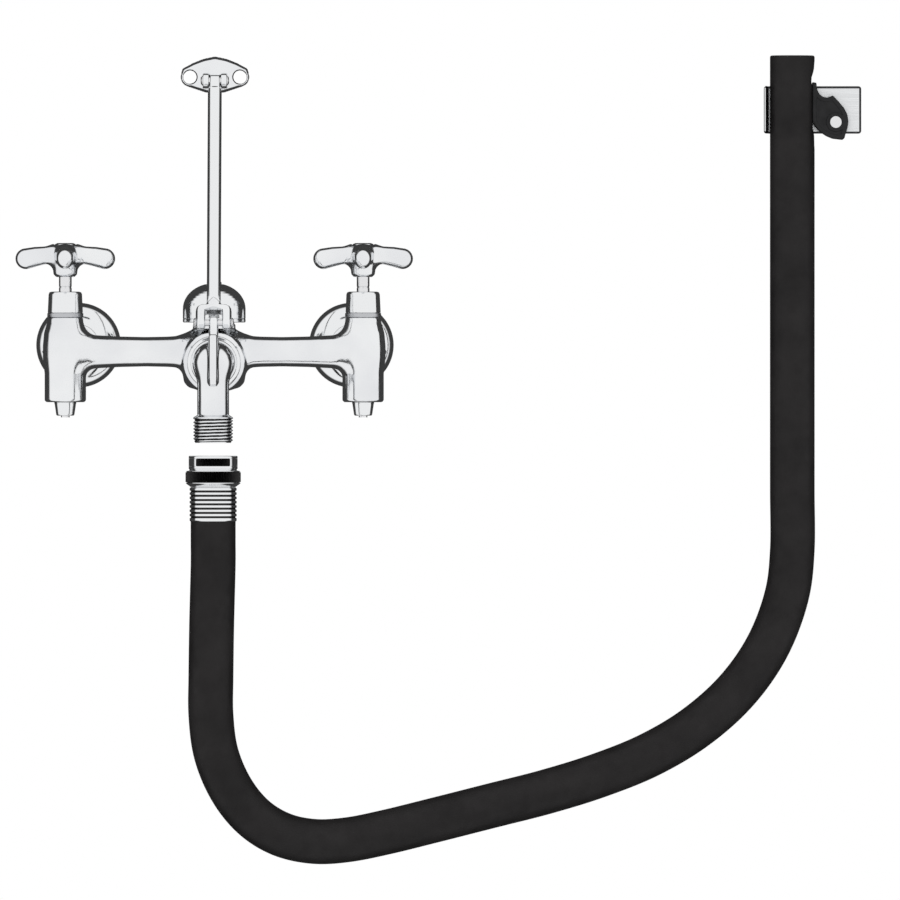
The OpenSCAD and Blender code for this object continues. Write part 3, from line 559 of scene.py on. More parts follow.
def casting_distance(x, y, z):
    x, y, z = np.abs(x), y - VALVE_Y, z - BRIDGE_Z
    hub_across, valve_across = np.hypot(x, y), np.hypot(x - VALVE_X, y)
    hub = outline_distance(HUB, hub_across, z)
    barrel = outline_distance(BARREL, valve_across, z)
    bridge = outline_distance(BRIDGE, np.hypot(y, z), VALVE_X - x)
    out = -y - VALVE_Y
    spout_across = np.hypot(x, z - SPOUT_Z + BRIDGE_Z)
    boss = rod(spout_across, out, BOSS_R, -VALVE_Y, BOSS_FACE)
    around = spout_across - FLARE_R
    cone = (around + FLARE_SLOPE * (out - FLARE_EDGE)) / math.hypot(1, FLARE_SLOPE)
    flare = np.maximum(blend_max(around, cone, 0.6), FLARE_FOOT - out)
    neck = rod(np.hypot(x - VALVE_X, z), out, UNION_THREAD_R, UNION_FACE, -VALVE_Y)
    form = blend_min(blend_min(hub, bridge, 6), barrel, 6)
    form = blend_min(blend_min(form, flare, 2), blend_min(boss, neck, 3), 3)
    chamber = rod(valve_across, z, CHAMBER_R, SEAT_TOP, BARREL_H + 5)
    below = rod(valve_across, z, STOP_CHAMBER_R, -BARREL_DEPTH - 5, -STOP_SEAT)
    neck_bore = rod(hub_across, z, NECK_R - 3.4, NECK_H - 7, NECK_H + 5)
    return blend_max(form, -np.minimum(np.minimum(chamber, below), neck_bore), 0.8)


def make_casting():
    lowest = (-VALVE_X - BARREL_R - 3, -BOSS_FACE - 3, BRIDGE_Z - BARREL_DEPTH - 3)
    highest = (VALVE_X + BARREL_R + 3, -UNION_FACE + 3, BRIDGE_Z + BARREL_H + 3)
    add_piece("casting", *skinned(casting_distance, lowest, highest, 0.8), CAST, "faucet_body")


# ---- Handles: heights above the bridge axis ----

HANDLE_REACH = 34
ARM_TIP_R = 7.05
ARM = [(0, 66.3, 6), (13, 66, 5.9), (20.5, 64.9, 6.6), (HANDLE_REACH - ARM_TIP_R, 63.5, ARM_TIP_R)]
ARM_SLIMNESS = 1.14  # an arm is that much higher than wide
BUTTON_R = 7.5
BUTTON_FOOT = 69.5
HANDLE_HUB = soften([
    (0, 51), (6.2, 51, 1.2), (8, 52.8, 1.2), (8.4, 56, 3), (10.2, 61.5, 4), (10.6, 67, 4),
    (9.8, 71.2, 1.2), (8.6, 72.4, 0.6), (0, 72.6),
], 0.8, 2)


def arm_distance(along, across, height):
    """Arm that swells towards its round tip: balls along a line, with the skin drawn over them."""
    best = np.float32(1e9)
    across = across * ARM_SLIMNESS
    for start, end in zip(ARM, ARM[1:]):
        t, du, dv = beside(along, height, start, end)
        away = np.sqrt(du**2 + across**2 + dv**2)
        best = np.minimum(best, away - start[2] - t * (end[2] - start[2]))
    return best


def handle_distance(x, y, z):
    arms = blend_min(arm_distance(np.abs(x), y, z), arm_distance(np.abs(y), x, z), 2)
    across = np.hypot(x, y)
    hub = outline_distance(HANDLE_HUB, across, z)
    seat = rod(across, z, BUTTON_R + 0.1, BUTTON_FOOT, BUTTON_FOOT + 20)
    return blend_max(blend_min(arms, hub, 5), -seat, 0.5)


def make_handles():
    reach = HANDLE_REACH + 2
    handle = skinned(handle_distance, (-reach, -reach, 49), (reach, reach, 76), 0.6)
    rim = turned([
        (0, BUTTON_FOOT), (BUTTON_R, BUTTON_FOOT), (BUTTON_R, 72.5), (6.9, 73.5, 1), (5.6, 74.1, 0.8),
        (5.2, 74.2, 0.3), (5.1, 73.6), (0, 73.5),
    ])
    disc = turned([(0, 73.4), (5, 73.4), (5, 73.8, 0.3), (3, 74), (0, 74.1)], 96, 0.3)
    add_to_valves(
        ("handle_cross", handle, CAST, "handle"), ("index_rim", rim, TURNED, "index_button"),
        ("index_disc", disc, (RED, BLUE), "index_button"),
    )


# ---- Valves ----


def make_valves():
    nut = turned([
        (0, 26.45), (12, 26.45, 0.5), (11.4, 39.2, 0.8),
        (10.8, 40.6, 0.8), (9.4, 41, 0.5), (5.4, 41, 0.4), (4.9, 40), (0, 40),
    ])
    stem = turned([
        (0, 20), (4.35, 20), (4.35, 43.4), (4.1, 43.8, 0.2), (4.1, 44.3, 0.2), (4.35, 44.7),
        (4.35, 51.4), (0, 51.4),
    ], 72, 0.3)
    ring = hollow([
        (8.6, 23.45), (12.1, 23.45, 0.3), (12.3, 23.8, 0.3), (12.3, 26.1, 0.3), (12.1, 26.4, 0.3),
        (8.6, 26.4),
    ])
    plug = hollow([
        (3.1, -43.6, 0.2), (5.7, -43.6, 0.5), (6.2, -42.9, 0.5), (7.3, -35.6, 1), (7.7, -34.55, 0.3),
        (6.85, -34.3, 0.3), (6.85, -28.5), (3.1, -28.5),
    ])
    add_to_valves(
        ("packing_cap", nut, TURNED, "packing_nut"), ("spindle", stem, TURNED_STEEL, "stem"),
        ("bonnet_ring", ring, SATIN, "bonnet"), ("stop_plug", plug, TURNED, "stop_bonnet"),
    )


# ---- Inlets: distances from the wall ----

NECK_OUT_R = 13.4
INLET_BORE_R = 9.5
TAIL_R = 9.4
COLLAR_R = 11.6
BLOCK_START, BLOCK_END = 20, 26
BLOCK_TAPER = 1.2
BORE_DEPTH = 16
COLLAR_START, COLLAR_END = 33, 37
PIPE_PITCH = 1.814
COVER_R = 29
COVER_WALL = 0.9
UNION_START, UNION_END = 30, 46
UNION_FLATS = 28
UNION_SIDES = 120
UNION_CORNER = UNION_FLATS / 2 / math.cos(math.pi / 6)


def eccentric_distance(x, y, z):
    out = -y
    inlet = np.hypot(x - INLET_X, z)
    union = np.hypot(x - VALVE_X, z - BRIDGE_Z)
    neck = rod(inlet, out, NECK_OUT_R, 0.5, BLOCK_END)
    t, dx, dz = beside(x, z, (INLET_X, 0), (VALVE_X, BRIDGE_Z))
    block = rod(np.hypot(dx, dz), out, NECK_OUT_R - BLOCK_TAPER * t, BLOCK_START, BLOCK_END)
    tail = rod(union, out, TAIL_R, BLOCK_END - 2, COLLAR_END)
    collar = rod(union, out, COLLAR_R, COLLAR_START, COLLAR_END)
    form = blend_min(blend_min(neck, block, 3), blend_min(tail, collar, 1), 2)
    return blend_max(form, -rod(inlet, out, INLET_BORE_R + 0.6, -5, BORE_DEPTH), 0.6)


def hexagon(cone):
    """Radii of the union nut's hexagon, turned down to that of its chamfer's cone."""
    turn = np.arange(UNION_SIDES) * 2 * math.pi / UNION_SIDES
    wedge = (turn + math.pi / 6) % (math.pi / 3) - math.pi / 6
    flat = UNION_FLATS / 2 / np.cos(math.pi / 6 - np.abs(wedge))
    return np.minimum(flat, cone)


def make_inlets():
    corners = (INLET_X - 17, -COLLAR_END - 2, -18), (VALVE_X + 17, 1, 18)
    add_both("offset_fitting", skinned(eccentric_distance, *corners, 0.7), CAST, "eccentric")
    thread = helix(INLET_BORE_R + 0.3, 0.7, PIPE_PITCH, 0.6, BORE_DEPTH - 0.2, 96, inward=True)
    add_both("inlet_thread", moved(thread, at(INLET_X, 0, 0) @ OUTWARD), BRASS, "eccentric")

    inner = NECK_OUT_R + 0.1
    shell = arc(COVER_R - NECK_OUT_R - 0.1, 12.8, 4, 88, 15, (inner, 0.2))
    inside = [
        (r - COVER_WALL, h - COVER_WALL) for r, h in reversed(shell) if r - COVER_WALL > inner and h > 1
    ]
    rim = [(27.6, 0.05, 0.2), (28.9, 0.05, 0.3)]
    cover = hollow(rim + shell + [(inner, 12.1)] + inside, 128, 0.3)
    add_both("cover_plate", moved(cover, at(INLET_X, 0, 0) @ OUTWARD), TURNED, "escutcheon")

    cones = (13.2, 0), (13.9, 0.5), (UNION_CORNER - 0.4, 1.6), (UNION_CORNER, 2.2)
    chamfer = [(hexagon(cone), h) for cone, h in cones]
    bore = TAIL_R + 0.1
    nut = lathed([
        (bore, UNION_START), *((r, UNION_START + h) for r, h in chamfer),
        *((r, UNION_END - h) for r, h in chamfer[::-1]), (12.3, UNION_END), (12.3, COLLAR_START),
        (bore, COLLAR_START), (bore, UNION_START),
    ], UNION_SIDES)
    add_both("union_ring", moved(nut, at(VALVE_X, 0, BRIDGE_Z) @ OUTWARD), TURNED, "union_nut")


# ---- Vacuum breaker: heights above the bridge axis ----

HOOD_RIM = 20
HOOD_SHOULDER = 29.3
HOOD_R = 21.4
HOOD_RISE = 17.5
HOOD_WALL = 1.4
HOOD_TOP = HOOD_SHOULDER + HOOD_RISE * math.sin(math.radians(75))  # where the screw's flat cuts the dome


def make_vacuum_breaker():
    def dome(wall):
        sizes = HOOD_R - wall, HOOD_RISE - wall
        return [(r, min(h, HOOD_TOP - wall)) for r, h in arc(*sizes, 0, 90, 16, (0, HOOD_SHOULDER))]

    outline = [(0, HOOD_TOP - HOOD_WALL)] + dome(HOOD_WALL)[-2::-1] + [
        (20, HOOD_RIM + 3), (20, HOOD_RIM, 0.5), (21, HOOD_RIM, 0.5), (HOOD_R, HOOD_RIM + 0.5, 0.4),
        (HOOD_R, HOOD_RIM + 2.2, 0.3), (21.1, HOOD_RIM + 2.5, 0.3), (HOOD_R, HOOD_RIM + 2.8, 0.3),
    ] + dome(0)[:-1] + [(0, HOOD_TOP)]
    add_at(AT_HUB, "vacuum_dome", turned(outline, 128, 0.5), TURNED, "vacuum_hood")
    screw = turned([
        (0, HOOD_TOP), (5, HOOD_TOP, 0.2), (5.1, HOOD_TOP + 0.9, 0.5), (4, HOOD_TOP + 2, 1),
        (2, HOOD_TOP + 2.6), (0, HOOD_TOP + 2.7),
    ], 72)
    add_at(AT_HUB, "dome_screw", screw, TURNED, "hood_screw")


# ---- Spout: distances from the wall and heights ----

SPOUT_R = 13.9
SPOUT_START = 92.5
OUTLET_OUT = -OUTLET_Y
DOWN_R = 10.8
THREAD_R = 13.5
THREAD_TOP = SPOUT_Z - 37.3
OUTLET_Z = THREAD_TOP - 17.4
SPOUT_BORE_R = 8
SPOUT_FLANGE_R = 15.8
SPOUT_FLANGE_T = 2.4
THREAD_DEPTH = 1.25
HOSE_PITCH = 2.209
LUG_OUT = -LUG_PIN[1]
LUG_EYE_R = 4.8
LUG_HALF = 3.25
# Pail hook and lug: distance beyond the outlet's axis, height above the spout's, and corner
HOOK = [
    (0, 0), (0, -21.5), (13, -15.5, 3), (17, -10.5, 6), (17, 17.5, 1.5), (15.5, 19, 1.5), (7, 19, 1.5),
    (6, 16, 1.5), (1, SPOUT_R, 3),
]
LUG_PLATE = soften([
    (LUG_OUT - LUG_EYE_R, LUG_PIN[2] - 1, 8), (LUG_OUT - 10, SPOUT_Z),
    *((OUTLET_OUT + out, SPOUT_Z + up, *corner) for out, up, *corner in HOOK),
    (LUG_OUT + 10, SPOUT_Z + SPOUT_R, 4), (LUG_OUT + LUG_EYE_R, LUG_PIN[2] - 1, 8),
], 1, 2, closed=True)


def helix(radius, depth, pitch, start, end, sides, inward=False, fade=0.4):
    """Threaded tube about +Z from start to end, right-handed, with the crests at the radius and the
    roots a depth below. It runs out over `fade` at both ends."""
    heights = np.linspace(start, end, int((end - start) / (pitch / 8)) + 1)
    turn = np.arange(sides) / sides
    profile = []
    for h in heights:
        phase = (h / pitch - turn) % 1
        ridge = np.clip(2.4 * np.abs(phase - 0.5) - 0.2, 0, 1)
        level = min(1, (h - start) / fade, (end - h) / fade)
        sunk = depth * (ridge if level >= 1 else ridge * level + (1 - level))
        profile.append((radius + sunk if inward else radius - sunk, h))
    return lathed(profile[::-1] if inward else profile, sides)


def spout_distance(x, y, z):
    out = -y
    spout_across = np.hypot(x, z - SPOUT_Z)
    barrel = rod(spout_across, out, SPOUT_R, SPOUT_START, OUTLET_OUT)
    flange = rod(spout_across, out, SPOUT_FLANGE_R, SPOUT_START, SPOUT_START + SPOUT_FLANGE_T)
    elbow = np.sqrt(x**2 + (out - OUTLET_OUT) ** 2 + (z - SPOUT_Z) ** 2) - SPOUT_R
    across = np.hypot(x, out - OUTLET_OUT)
    flare = np.clip((THREAD_TOP + 1.5 - z) / 1.6, 0, 1) * (THREAD_R - DOWN_R)
    down = rod(across, z, DOWN_R + flare, THREAD_TOP - 1.2, SPOUT_Z)
    plate = outline_distance(LUG_PLATE, out, z)
    eye = np.hypot(out - LUG_OUT, z - LUG_PIN[2]) - LUG_EYE_R
    lug = bevelled(blend_min(plate, eye, 2), np.abs(x) - LUG_HALF, 1.2)
    form = blend_min(np.minimum(barrel, elbow), down, 5)
    form = np.minimum(blend_min(form, lug, 2.2), flange)
    return blend_max(form, -rod(across, z, SPOUT_BORE_R, OUTLET_Z - 5, SPOUT_Z - 8), 0.3)


def make_spout():
    lowest = (-17, -OUTLET_OUT - 19, THREAD_TOP - 3)
    highest = (17, -SPOUT_START + 2, LUG_PIN[2] + 7)
    add_piece("spout_casting", *skinned(spout_distance, lowest, highest, 0.65), CAST, "spout")

    root = THREAD_R - THREAD_DEPTH
    mouth = lathed(soften([
        (SPOUT_BORE_R, THREAD_TOP - 1), (SPOUT_BORE_R, OUTLET_Z), (root - 0.1, OUTLET_Z),
        (root, OUTLET_Z + 0.4),
    ]), 144)
    thread = helix(THREAD_R, THREAD_DEPTH, HOSE_PITCH, OUTLET_Z + 0.4, THREAD_TOP - 1, 144, fade=1.2)
    piece = add_at(at(0, OUTLET_Y, 0), "outlet_thread", join_faces(mouth, thread), TURNED, "spout")
    # Painted shade in the thread's roots
    shade_grooves(piece, THREAD_R - 0.6, OUTLET_Z + 0.8, THREAD_TOP)

    nut = hollow([
        (14.1, 95), (16.6, 95), (16.6, 88.5), (17.6, 88.5, 0.4), (18.3, 89.4, 0.6), (18.3, 92.6, 0.2),
        (17.9, 93, 0.2), (18.3, 93.4, 0.2), (18.3, 96, 0.6), (17.6, 96.8, 0.6), (16, 97.2, 0.4),
        (15.4, 98, 0.3), (14.1, 98),
    ], 128)
    add_at(at(0, 0, SPOUT_Z) @ OUTWARD, "spout_ring", nut, TURNED, "spout_nut")


# ---- Brace: heights along the rod from the lug's pin ----

BRACE_RUN = LUG_PIN[1] - FLANGE_PIN[1]
BRACE_RISE = FLANGE_PIN[2] - LUG_PIN[2]
BRACE_LENGTH = math.hypot(BRACE_RUN, BRACE_RISE)
AT_BRACE = at(*LUG_PIN) @ Matrix.Rotation(math.atan2(BRACE_RUN, BRACE_RISE), 4, "X")
CLEVIS_HALF = 12.2
CLEVIS_DEPTH = 4.7
CLEVIS_SLOT = 5.65
CLEVIS_INNER = 8.5
CLEVIS_OUTER = 13.5


def gate(half, top, corner, steps):
    """Upright rectangle with rounded upper corners."""
    corners = [(-half, -20), (half, -20), (half, top, corner), (-half, top, corner)]
    return soften(corners, 0.01, steps, closed=True)


CLEVIS_ARCH = gate(CLEVIS_HALF, CLEVIS_OUTER, 5.5, 4)
CLEVIS_GAP = gate(CLEVIS_SLOT, CLEVIS_INNER, 1, 2)
BOSS_UNDER_ROD_R = 5.9
BOSS_TOP = 17.6
ROD_R = 4.75
TONGUE_HALF, TONGUE_DEPTH, TONGUE_LENGTH = 3.2, 4, 8
PIN_HEAD = [(2.2, 0, 0.2), (3.4, 0, 0.2), (3.4, 0.5, 0.7), (2.2, 1.45, 0.5), (0, 1.5)]


def clevis_distance(x, y, z):
    flat = np.where(z < 0, np.hypot(y, z), np.abs(y)) - CLEVIS_DEPTH
    arch = outline_distance(CLEVIS_ARCH, x, z)
    fork = bevelled(bevelled(flat, arch, 1.4), -outline_distance(CLEVIS_GAP, x, z), 0.9)
    ends = np.maximum(z - BOSS_TOP + 0.8 * np.abs(x), CLEVIS_INNER + 1 - z)
    return blend_min(fork, np.maximum(np.hypot(x, y) - BOSS_UNDER_ROD_R, ends), 0.8)


def rod_ring(half_x, half_y, height, squareness):
    """Ring that goes from a circle, squareness 0, to a square with rounded corners."""
    ring = circle(1, height, 72)
    flat = ring[:, :2]
    ring[:, :2] = (half_x, half_y) * np.sign(flat) * np.abs(flat) ** (1 - 0.82 * squareness)
    return ring


def make_brace():
    fork = skinned(clevis_distance, (-14, -7, -7), (14, 7, 19), 0.45)
    add_at(AT_BRACE, "brace_fork", fork, CAST, "brace_clevis")

    rings = [rod_ring(ROD_R, ROD_R, h, 0) for h in (CLEVIS_OUTER - 1, 20, 60, 120)]
    shoulder = BRACE_LENGTH - TONGUE_LENGTH
    for t in np.linspace(0, 1, 7):
        ease = t * t * (3 - 2 * t)
        half_x, half_y = (ROD_R + (half - ROD_R) * ease for half in (TONGUE_HALF, TONGUE_DEPTH))
        rings.append(rod_ring(half_x, half_y, shoulder - 0.5 + 1.6 * t, ease))
    for a in np.linspace(0, math.pi / 2, 9)[:-1]:
        half = TONGUE_DEPTH * math.cos(a)
        rings.append(rod_ring(TONGUE_HALF, half, BRACE_LENGTH + TONGUE_DEPTH * math.sin(a), 1))
    rings.append(rod_ring(TONGUE_HALF, 0.05, BRACE_LENGTH + TONGUE_DEPTH, 1))
    add_at(AT_BRACE, "brace_bar", rings_surface(rings), TURNED, "brace_rod")

    for name, node, pin, half in (
        ("fork_pin", "clevis_pin", LUG_PIN, CLEVIS_HALF + 0.1),
        ("ear_pin", "flange_pin", FLANGE_PIN, EAR_X + EAR_HALF),
    ):
        head = [(r, half + h, *corner) for r, h, *corner in PIN_HEAD]
        tail = [(r, -h, *corner) for r, h, *corner in head[::-1]]
        add_at(at(*pin) @ ALONG_X, name, turned(tail + head, 64), TURNED_STEEL, node)


# ---- Wall flange: seen from the front, about the middle of its screw holes ----

FLANGE_Z = FLANGE_PIN[2] + 2.5
FLANGE_T = 4
FLANGE_HOLE_X = 17
FLANGE_HOLE_R = 4.2
FLANGE_END_R = 7
FLANGE_FOOT = -10.8
FLANGE_TOP = [(22.9, 6, 3), (15.3, 9.8, 20), (8, 12.6, 20), (0, 14.2, 6)]
FLANGE_BULGE = 1.1
EAR_X, EAR_HALF, EAR_R = 6.15, 2.05, 5
FLANGE_OUTLINE = soften([
    *arc(FLANGE_END_R, FLANGE_END_R, -75, 10, 10, (FLANGE_HOLE_X, 0)),
    *FLANGE_TOP, *((-x, z, radius) for x, z, radius in FLANGE_TOP[-2::-1]),
    *arc(FLANGE_END_R, FLANGE_END_R, 170, 255, 10, (-FLANGE_HOLE_X, 0)),
    (-6, FLANGE_FOOT), (6, FLANGE_FOOT),
], 0.01, 3, closed=True)


def beyond_holes(x, z):
    """Distance from the flange's screw holes, negative in them."""
    return np.hypot(np.abs(x) - FLANGE_HOLE_X, z - FLANGE_Z) - FLANGE_HOLE_R


def flange_distance(x, y, z):
    out = -y
    flat = outline_distance(FLANGE_OUTLINE, x, z - FLANGE_Z)
    crown = FLANGE_T - FLANGE_BULGE * np.clip(np.abs(x) / 24, 0, 1) ** 2
    plate = blend_max(bevelled(out - crown, flat, 2), -out, 0.2)
    side = np.abs(np.abs(x) - EAR_X) - EAR_HALF
    drop = np.abs(z - FLANGE_PIN[2])
    beyond = out + FLANGE_PIN[1]
    ear = np.where(beyond < 0, drop, np.hypot(beyond, drop)) - EAR_R
    ears = blend_max(blend_max(ear, side, 0.8), FLANGE_T / 2 - out, 0.1)
    return bevelled(blend_min(plate, ears, 1.6), -beyond_holes(x, z), 1.1)


def make_flange():
    form = skinned(flange_distance, (-26, -19, FLANGE_Z - 13), (26, 2, FLANGE_Z + 17), 0.5)
    plate = add_piece("brace_plate", *form, CAST, "wall_flange")
    # Painted shade: dark rings round the screw holes and in the gap between the ears, on the front only
    shade(plate, PAINTED_SHADE, lambda x, y, z: (y < -FLANGE_T / 4) & (
        (beyond_holes(x, z) < 0.9)
        | (np.abs(x) < 4.3) & (z > FLANGE_PIN[2] - 3) & (z < FLANGE_PIN[2] + 4.2)
    ))


# ---- Coupling: heights from its top edge ----

NUT_FOOT = -21.2
COLLAR_R_OUT = 16.6
KNURL_R = 18.8
KNURL_SIDES = 192  # two for each tooth
PAD_FOOT, PAD_TOP = -7, -1.9
PAD_HALF = 11.8
GRIP_FOOT, GRIP_TOP = -18.2, -10.8
FERRULE_R = 16
FERRULE_LENGTH = 23.3
FERRULE_GROOVES = 7
GROOVE_DEPTH = 0.8


def knurl(radius, depth, start, end):
    """Band of sharp upright teeth that end in a short slope."""
    tooth = radius - depth * (np.arange(KNURL_SIDES) % 2)
    root = radius - depth
    return lathed([
        (root - 0.5, start), (root, start), (tooth, start + depth / 2), (tooth, end - depth / 2),
        (root, end), (root - 0.5, end), (root - 0.5, start),
    ], KNURL_SIDES)


def collar_radius(radius, height):
    """Radii of the coupling. Those under the collar's own hold at its front and back pads only."""
    if not PAD_FOOT <= height <= PAD_TOP:
        return radius
    sideways = np.abs(circle(COLLAR_R_OUT, 0, KNURL_SIDES)[:, 0])
    return np.where(sideways > PAD_HALF, COLLAR_R_OUT, radius)


def make_coupling():
    shell = lathed([(collar_radius(r, h), h) for r, h in soften([
        (10.6, NUT_FOOT + 3), (10.6, NUT_FOOT, 0.3), (15.2, NUT_FOOT, 0.4), (18, -19.2),
        (18.5, -18.7, 0.3), (18.5, -18.3, 0.2), (17.5, GRIP_FOOT), (17.5, GRIP_TOP),
        (18.5, -10.7, 0.2), (18.5, -10.4, 0.3), (17.2, -10.2, 0.3), (16.1, -9.9, 0.3),
        (16.1, -9.1, 0.3), (COLLAR_R_OUT, -8.8, 0.3),
        (COLLAR_R_OUT, PAD_FOOT - 0.1), (15.4, PAD_FOOT), (15.4, PAD_TOP), (COLLAR_R_OUT, PAD_TOP + 0.1),
        (COLLAR_R_OUT, 0, 0.8), (14.3, 0, 0.4), (13.75, -0.6), (13.75, -0.8),
    ], 0.1)], KNURL_SIDES)
    thread = helix(THREAD_R - 0.1, 0.9, HOSE_PITCH, -13, -0.7, 96, inward=True, fade=1)
    step = lathed(
        [(13.75, -13), (13.55, -13), (13.55, -18.4), (10.6, -18.4), (10.6, NUT_FOOT + 3)], 96,
    )
    add_at(AT_COUPLING, "swivel_nut", join_faces(shell, thread, step), TURNED, "hose_nut")
    # The knurled bands take the painted shade all over, so their teeth read dark
    for name, *sizes in (
        ("grip_knurl", KNURL_R, 1.1, GRIP_FOOT, GRIP_TOP),
        ("collar_knurl", COLLAR_R_OUT - 0.15, 0.9, PAD_FOOT, PAD_TOP),
    ):
        add_at(AT_COUPLING, name, knurl(*sizes), PAINTED_SHADE, "hose_nut", smooth=False)


def make_ferrule():
    top = NUT_FOOT - 0.1
    foot = top - FERRULE_LENGTH
    outline = [(10.7, top), (15.2, top, 0.5), (FERRULE_R, top - 0.9, 0.5)]
    for i in range(1, FERRULE_GROOVES + 1):
        groove = top - i * FERRULE_LENGTH / (FERRULE_GROOVES + 1)
        for offset, sunk in ((0.75, 0), (0.4, GROOVE_DEPTH), (-0.4, GROOVE_DEPTH), (-0.75, 0)):
            outline.append((FERRULE_R - sunk, groove + offset, 0.15))
    outline += [
        (FERRULE_R, foot + 0.7, 0.4), (15.5, foot, 0.4), (14.7, foot, 0.3), (14.3, foot + 0.6),
        (14.3, top - 2), (10.7, top - 2),
    ]
    piece = add_at(AT_COUPLING, "crimped_ferrule", hollow(outline[::-1], 128), TURNED, "hose_ferrule")
    # Painted shade in the ferrule's grooves
    shade_grooves(piece, FERRULE_R - 0.25, COUPLING_Z + foot + 1, COUPLING_Z + top - 1)


# ---- Hose ----

HOSE_R = 15.3
HOSE_NECK_R = 14.2
HOSE_BORE_R = 9.3
HOSE_SIDES = 48
FERRULE_FOOT = COUPLING_Z - 44.6
HOSE_NECK_TOP = COUPLING_Z - 23.4
ROUTE = [
    (0, -155, -120.5), (0, -155, -135), (0, -155, -150), (-1, -155, -190), (-1.5, -155, -225),
    (-1.5, -155, -252), (2, -154, -278), (12, -151, -302), (27, -146, -321), (46, -140, -333),
    (68, -132, -338), (91, -124, -337), (117, -116, -332), (150, -105, -324), (190, -91, -314),
    (226, -79, -305), (262, -67, -294), (297, -55, -280), (329, -44, -261), (357, -35, -236),
    (378, -28, -206), (391, -23, -172),
    *((395, -22, z) for z in (-140, -100, -60, 0, 60, 120, 160, 198)),
]
RING_STEP = 3  # millimetres
CUT_ROUND = 1.3  # radius of the cut end's edge
CUT_STEPS = (0, 22, 45, 67, 90)
# Radius and depth of the rings that lead over the cut into the bore
MOUTH = ((HOSE_BORE_R + 2.6, 0), (HOSE_BORE_R + 0.6, 0), (HOSE_BORE_R, 0.7), (HOSE_BORE_R, 30))
# How deep the cam presses the hose's side, at heights above the cam's pin
PINCH = [(-16, 0), (-9, 0.4), (-4, 1.9), (0, 2), (26, 2), (28.2, 3.3), (31, 2.6), (36, 0.7), (41, 0)]
PINCH_SOFT = 0.6  # how softly the pressed side meets the round one
PINCH_SWELL = 0.012  # how much wider the hose gets from front to back for each millimetre of depth


def route_points():
    """Smooth curve through the route, with points about a ring step apart."""
    route = np.array([ROUTE[0], *ROUTE, ROUTE[-1]], float)
    line = []
    for a, b, c, d in zip(route, route[1:], route[2:], route[3:]):
        steps = max(2, round(float(np.linalg.norm(c - b)) / RING_STEP))
        for t in np.arange(steps) / steps:
            bend, twist = 2 * a - 5 * b + 4 * c - d, 3 * b - a - 3 * c + d
            line.append(0.5 * (2 * b + (c - a) * t + bend * t * t + twist * t**3))
    return np.array(line + [route[-1]])


def pinch(rings):
    """Presses the hose's side in beside the cam, and lets it swell a little front and back."""
    x, y, z = rings.transpose(2, 0, 1)
    hose_x, hose_y = ROUTE[-1][:2]
    depth = np.where(x > hose_x, np.interp(z - CAM_PIN[2], *zip(*PINCH)), 0)
    out = x - hose_x
    limit = HOSE_R - depth + PINCH_SOFT
    pressed = limit - np.log1p(np.exp(np.clip((limit - out) / PINCH_SOFT, -30, 30))) * PINCH_SOFT
    x[:] = np.where(depth > 0, hose_x + np.minimum(out, pressed), x)
    y[:] = hose_y + (y - hose_y) * (1 + PINCH_SWELL * depth)


def make_hose():
    line = route_points()
    end = line[-1]
    neck = (HOSE_NECK_TOP, 0), (FERRULE_FOOT + 1.2, 0), (FERRULE_FOOT + 0.4, 0.4)
    stations = [((0, OUTLET_Y, z), HOSE_NECK_R + wider) for z, wider in neck]
    stations += [(point, HOSE_R) for point in line[:-1]]
    straight_from = len(stations)
    for a in np.radians(CUT_STEPS):
        drop, narrower = CUT_ROUND * (1 - math.sin(a)), CUT_ROUND * (1 - math.cos(a))
        stations.append((end - (0, 0, drop), HOSE_R - narrower))
    skin_rings = len(stations)
    stations += [(end - (0, 0, drop), radius) for radius, drop in MOUTH]
    centres = np.array([centre for centre, _ in stations], float)
    level = np.cross((0, 0, 1), centres[skin_rings - 1] - centres[0])
    level /= np.linalg.norm(level)
    across, up = circle(1, 0, HOSE_SIDES).T[:2, :, None]
    rings = []
    for i, (centre, radius) in enumerate(stations):
        ahead = (0, 0, 1) if i >= straight_from else centres[i + 1] - centres[max(0, i - 1)]
        ahead = np.array(ahead) / np.linalg.norm(ahead)
        rings.append(centre + radius * (across * level + up * np.cross(ahead, level)))
    rings = np.array(rings)
    pinch(rings[:skin_rings])
    piece = add_piece("hose_tube", *rings_surface(rings[:, ::-1]), HOSE_RUBBER, "hose")

    grain = np.zeros((len(piece.data.vertices), 3), np.float32)
    travelled = np.cumsum([0] + [float(np.linalg.norm(step)) for step in np.diff(centres, axis=0)])
    for i, distance in enumerate(travelled):
        ring = circle(HOSE_R * MM, distance * MM, HOSE_SIDES)
        grain[i * HOSE_SIDES:(i + 1) * HOSE_SIDES] = ring[::-1]
    piece.data.attributes.new("along", "FLOAT_VECTOR", "POINT").data.foreach_set("vector", grain.ravel())


# ---- Bracket and cam ----

PLATE_LEFT, PLATE_RIGHT = 375, 443
PLATE_HALF = 16.8
PLATE_Z = middle("hose_bracket")[2]
PLATE_HOLE = 9
PLATE_HOLE_R = 2.6
PLATE_CORNER = 2.5
SHEET_HALF = 1
EDGE = 1.1  # width of the bevel along the sheet's edge
SHADE_BORDER = 2.1  # width of the painted shade border on the side that faces the room
CLAW_SIDE = PLATE_LEFT + 4  # left of this is the claw's outside, which gets no painted edge shade
CLAW_LINE = soften([
    (PLATE_RIGHT + 5, -1), (PLATE_LEFT + 1, -1, 3), (PLATE_LEFT + 1, -15, 8), (PLATE_LEFT + 2.4, -20, 4),
    (PLATE_LEFT + 2.4, -24, 4), (PLATE_LEFT + 1, -30.2, 4),
], 1, 5)


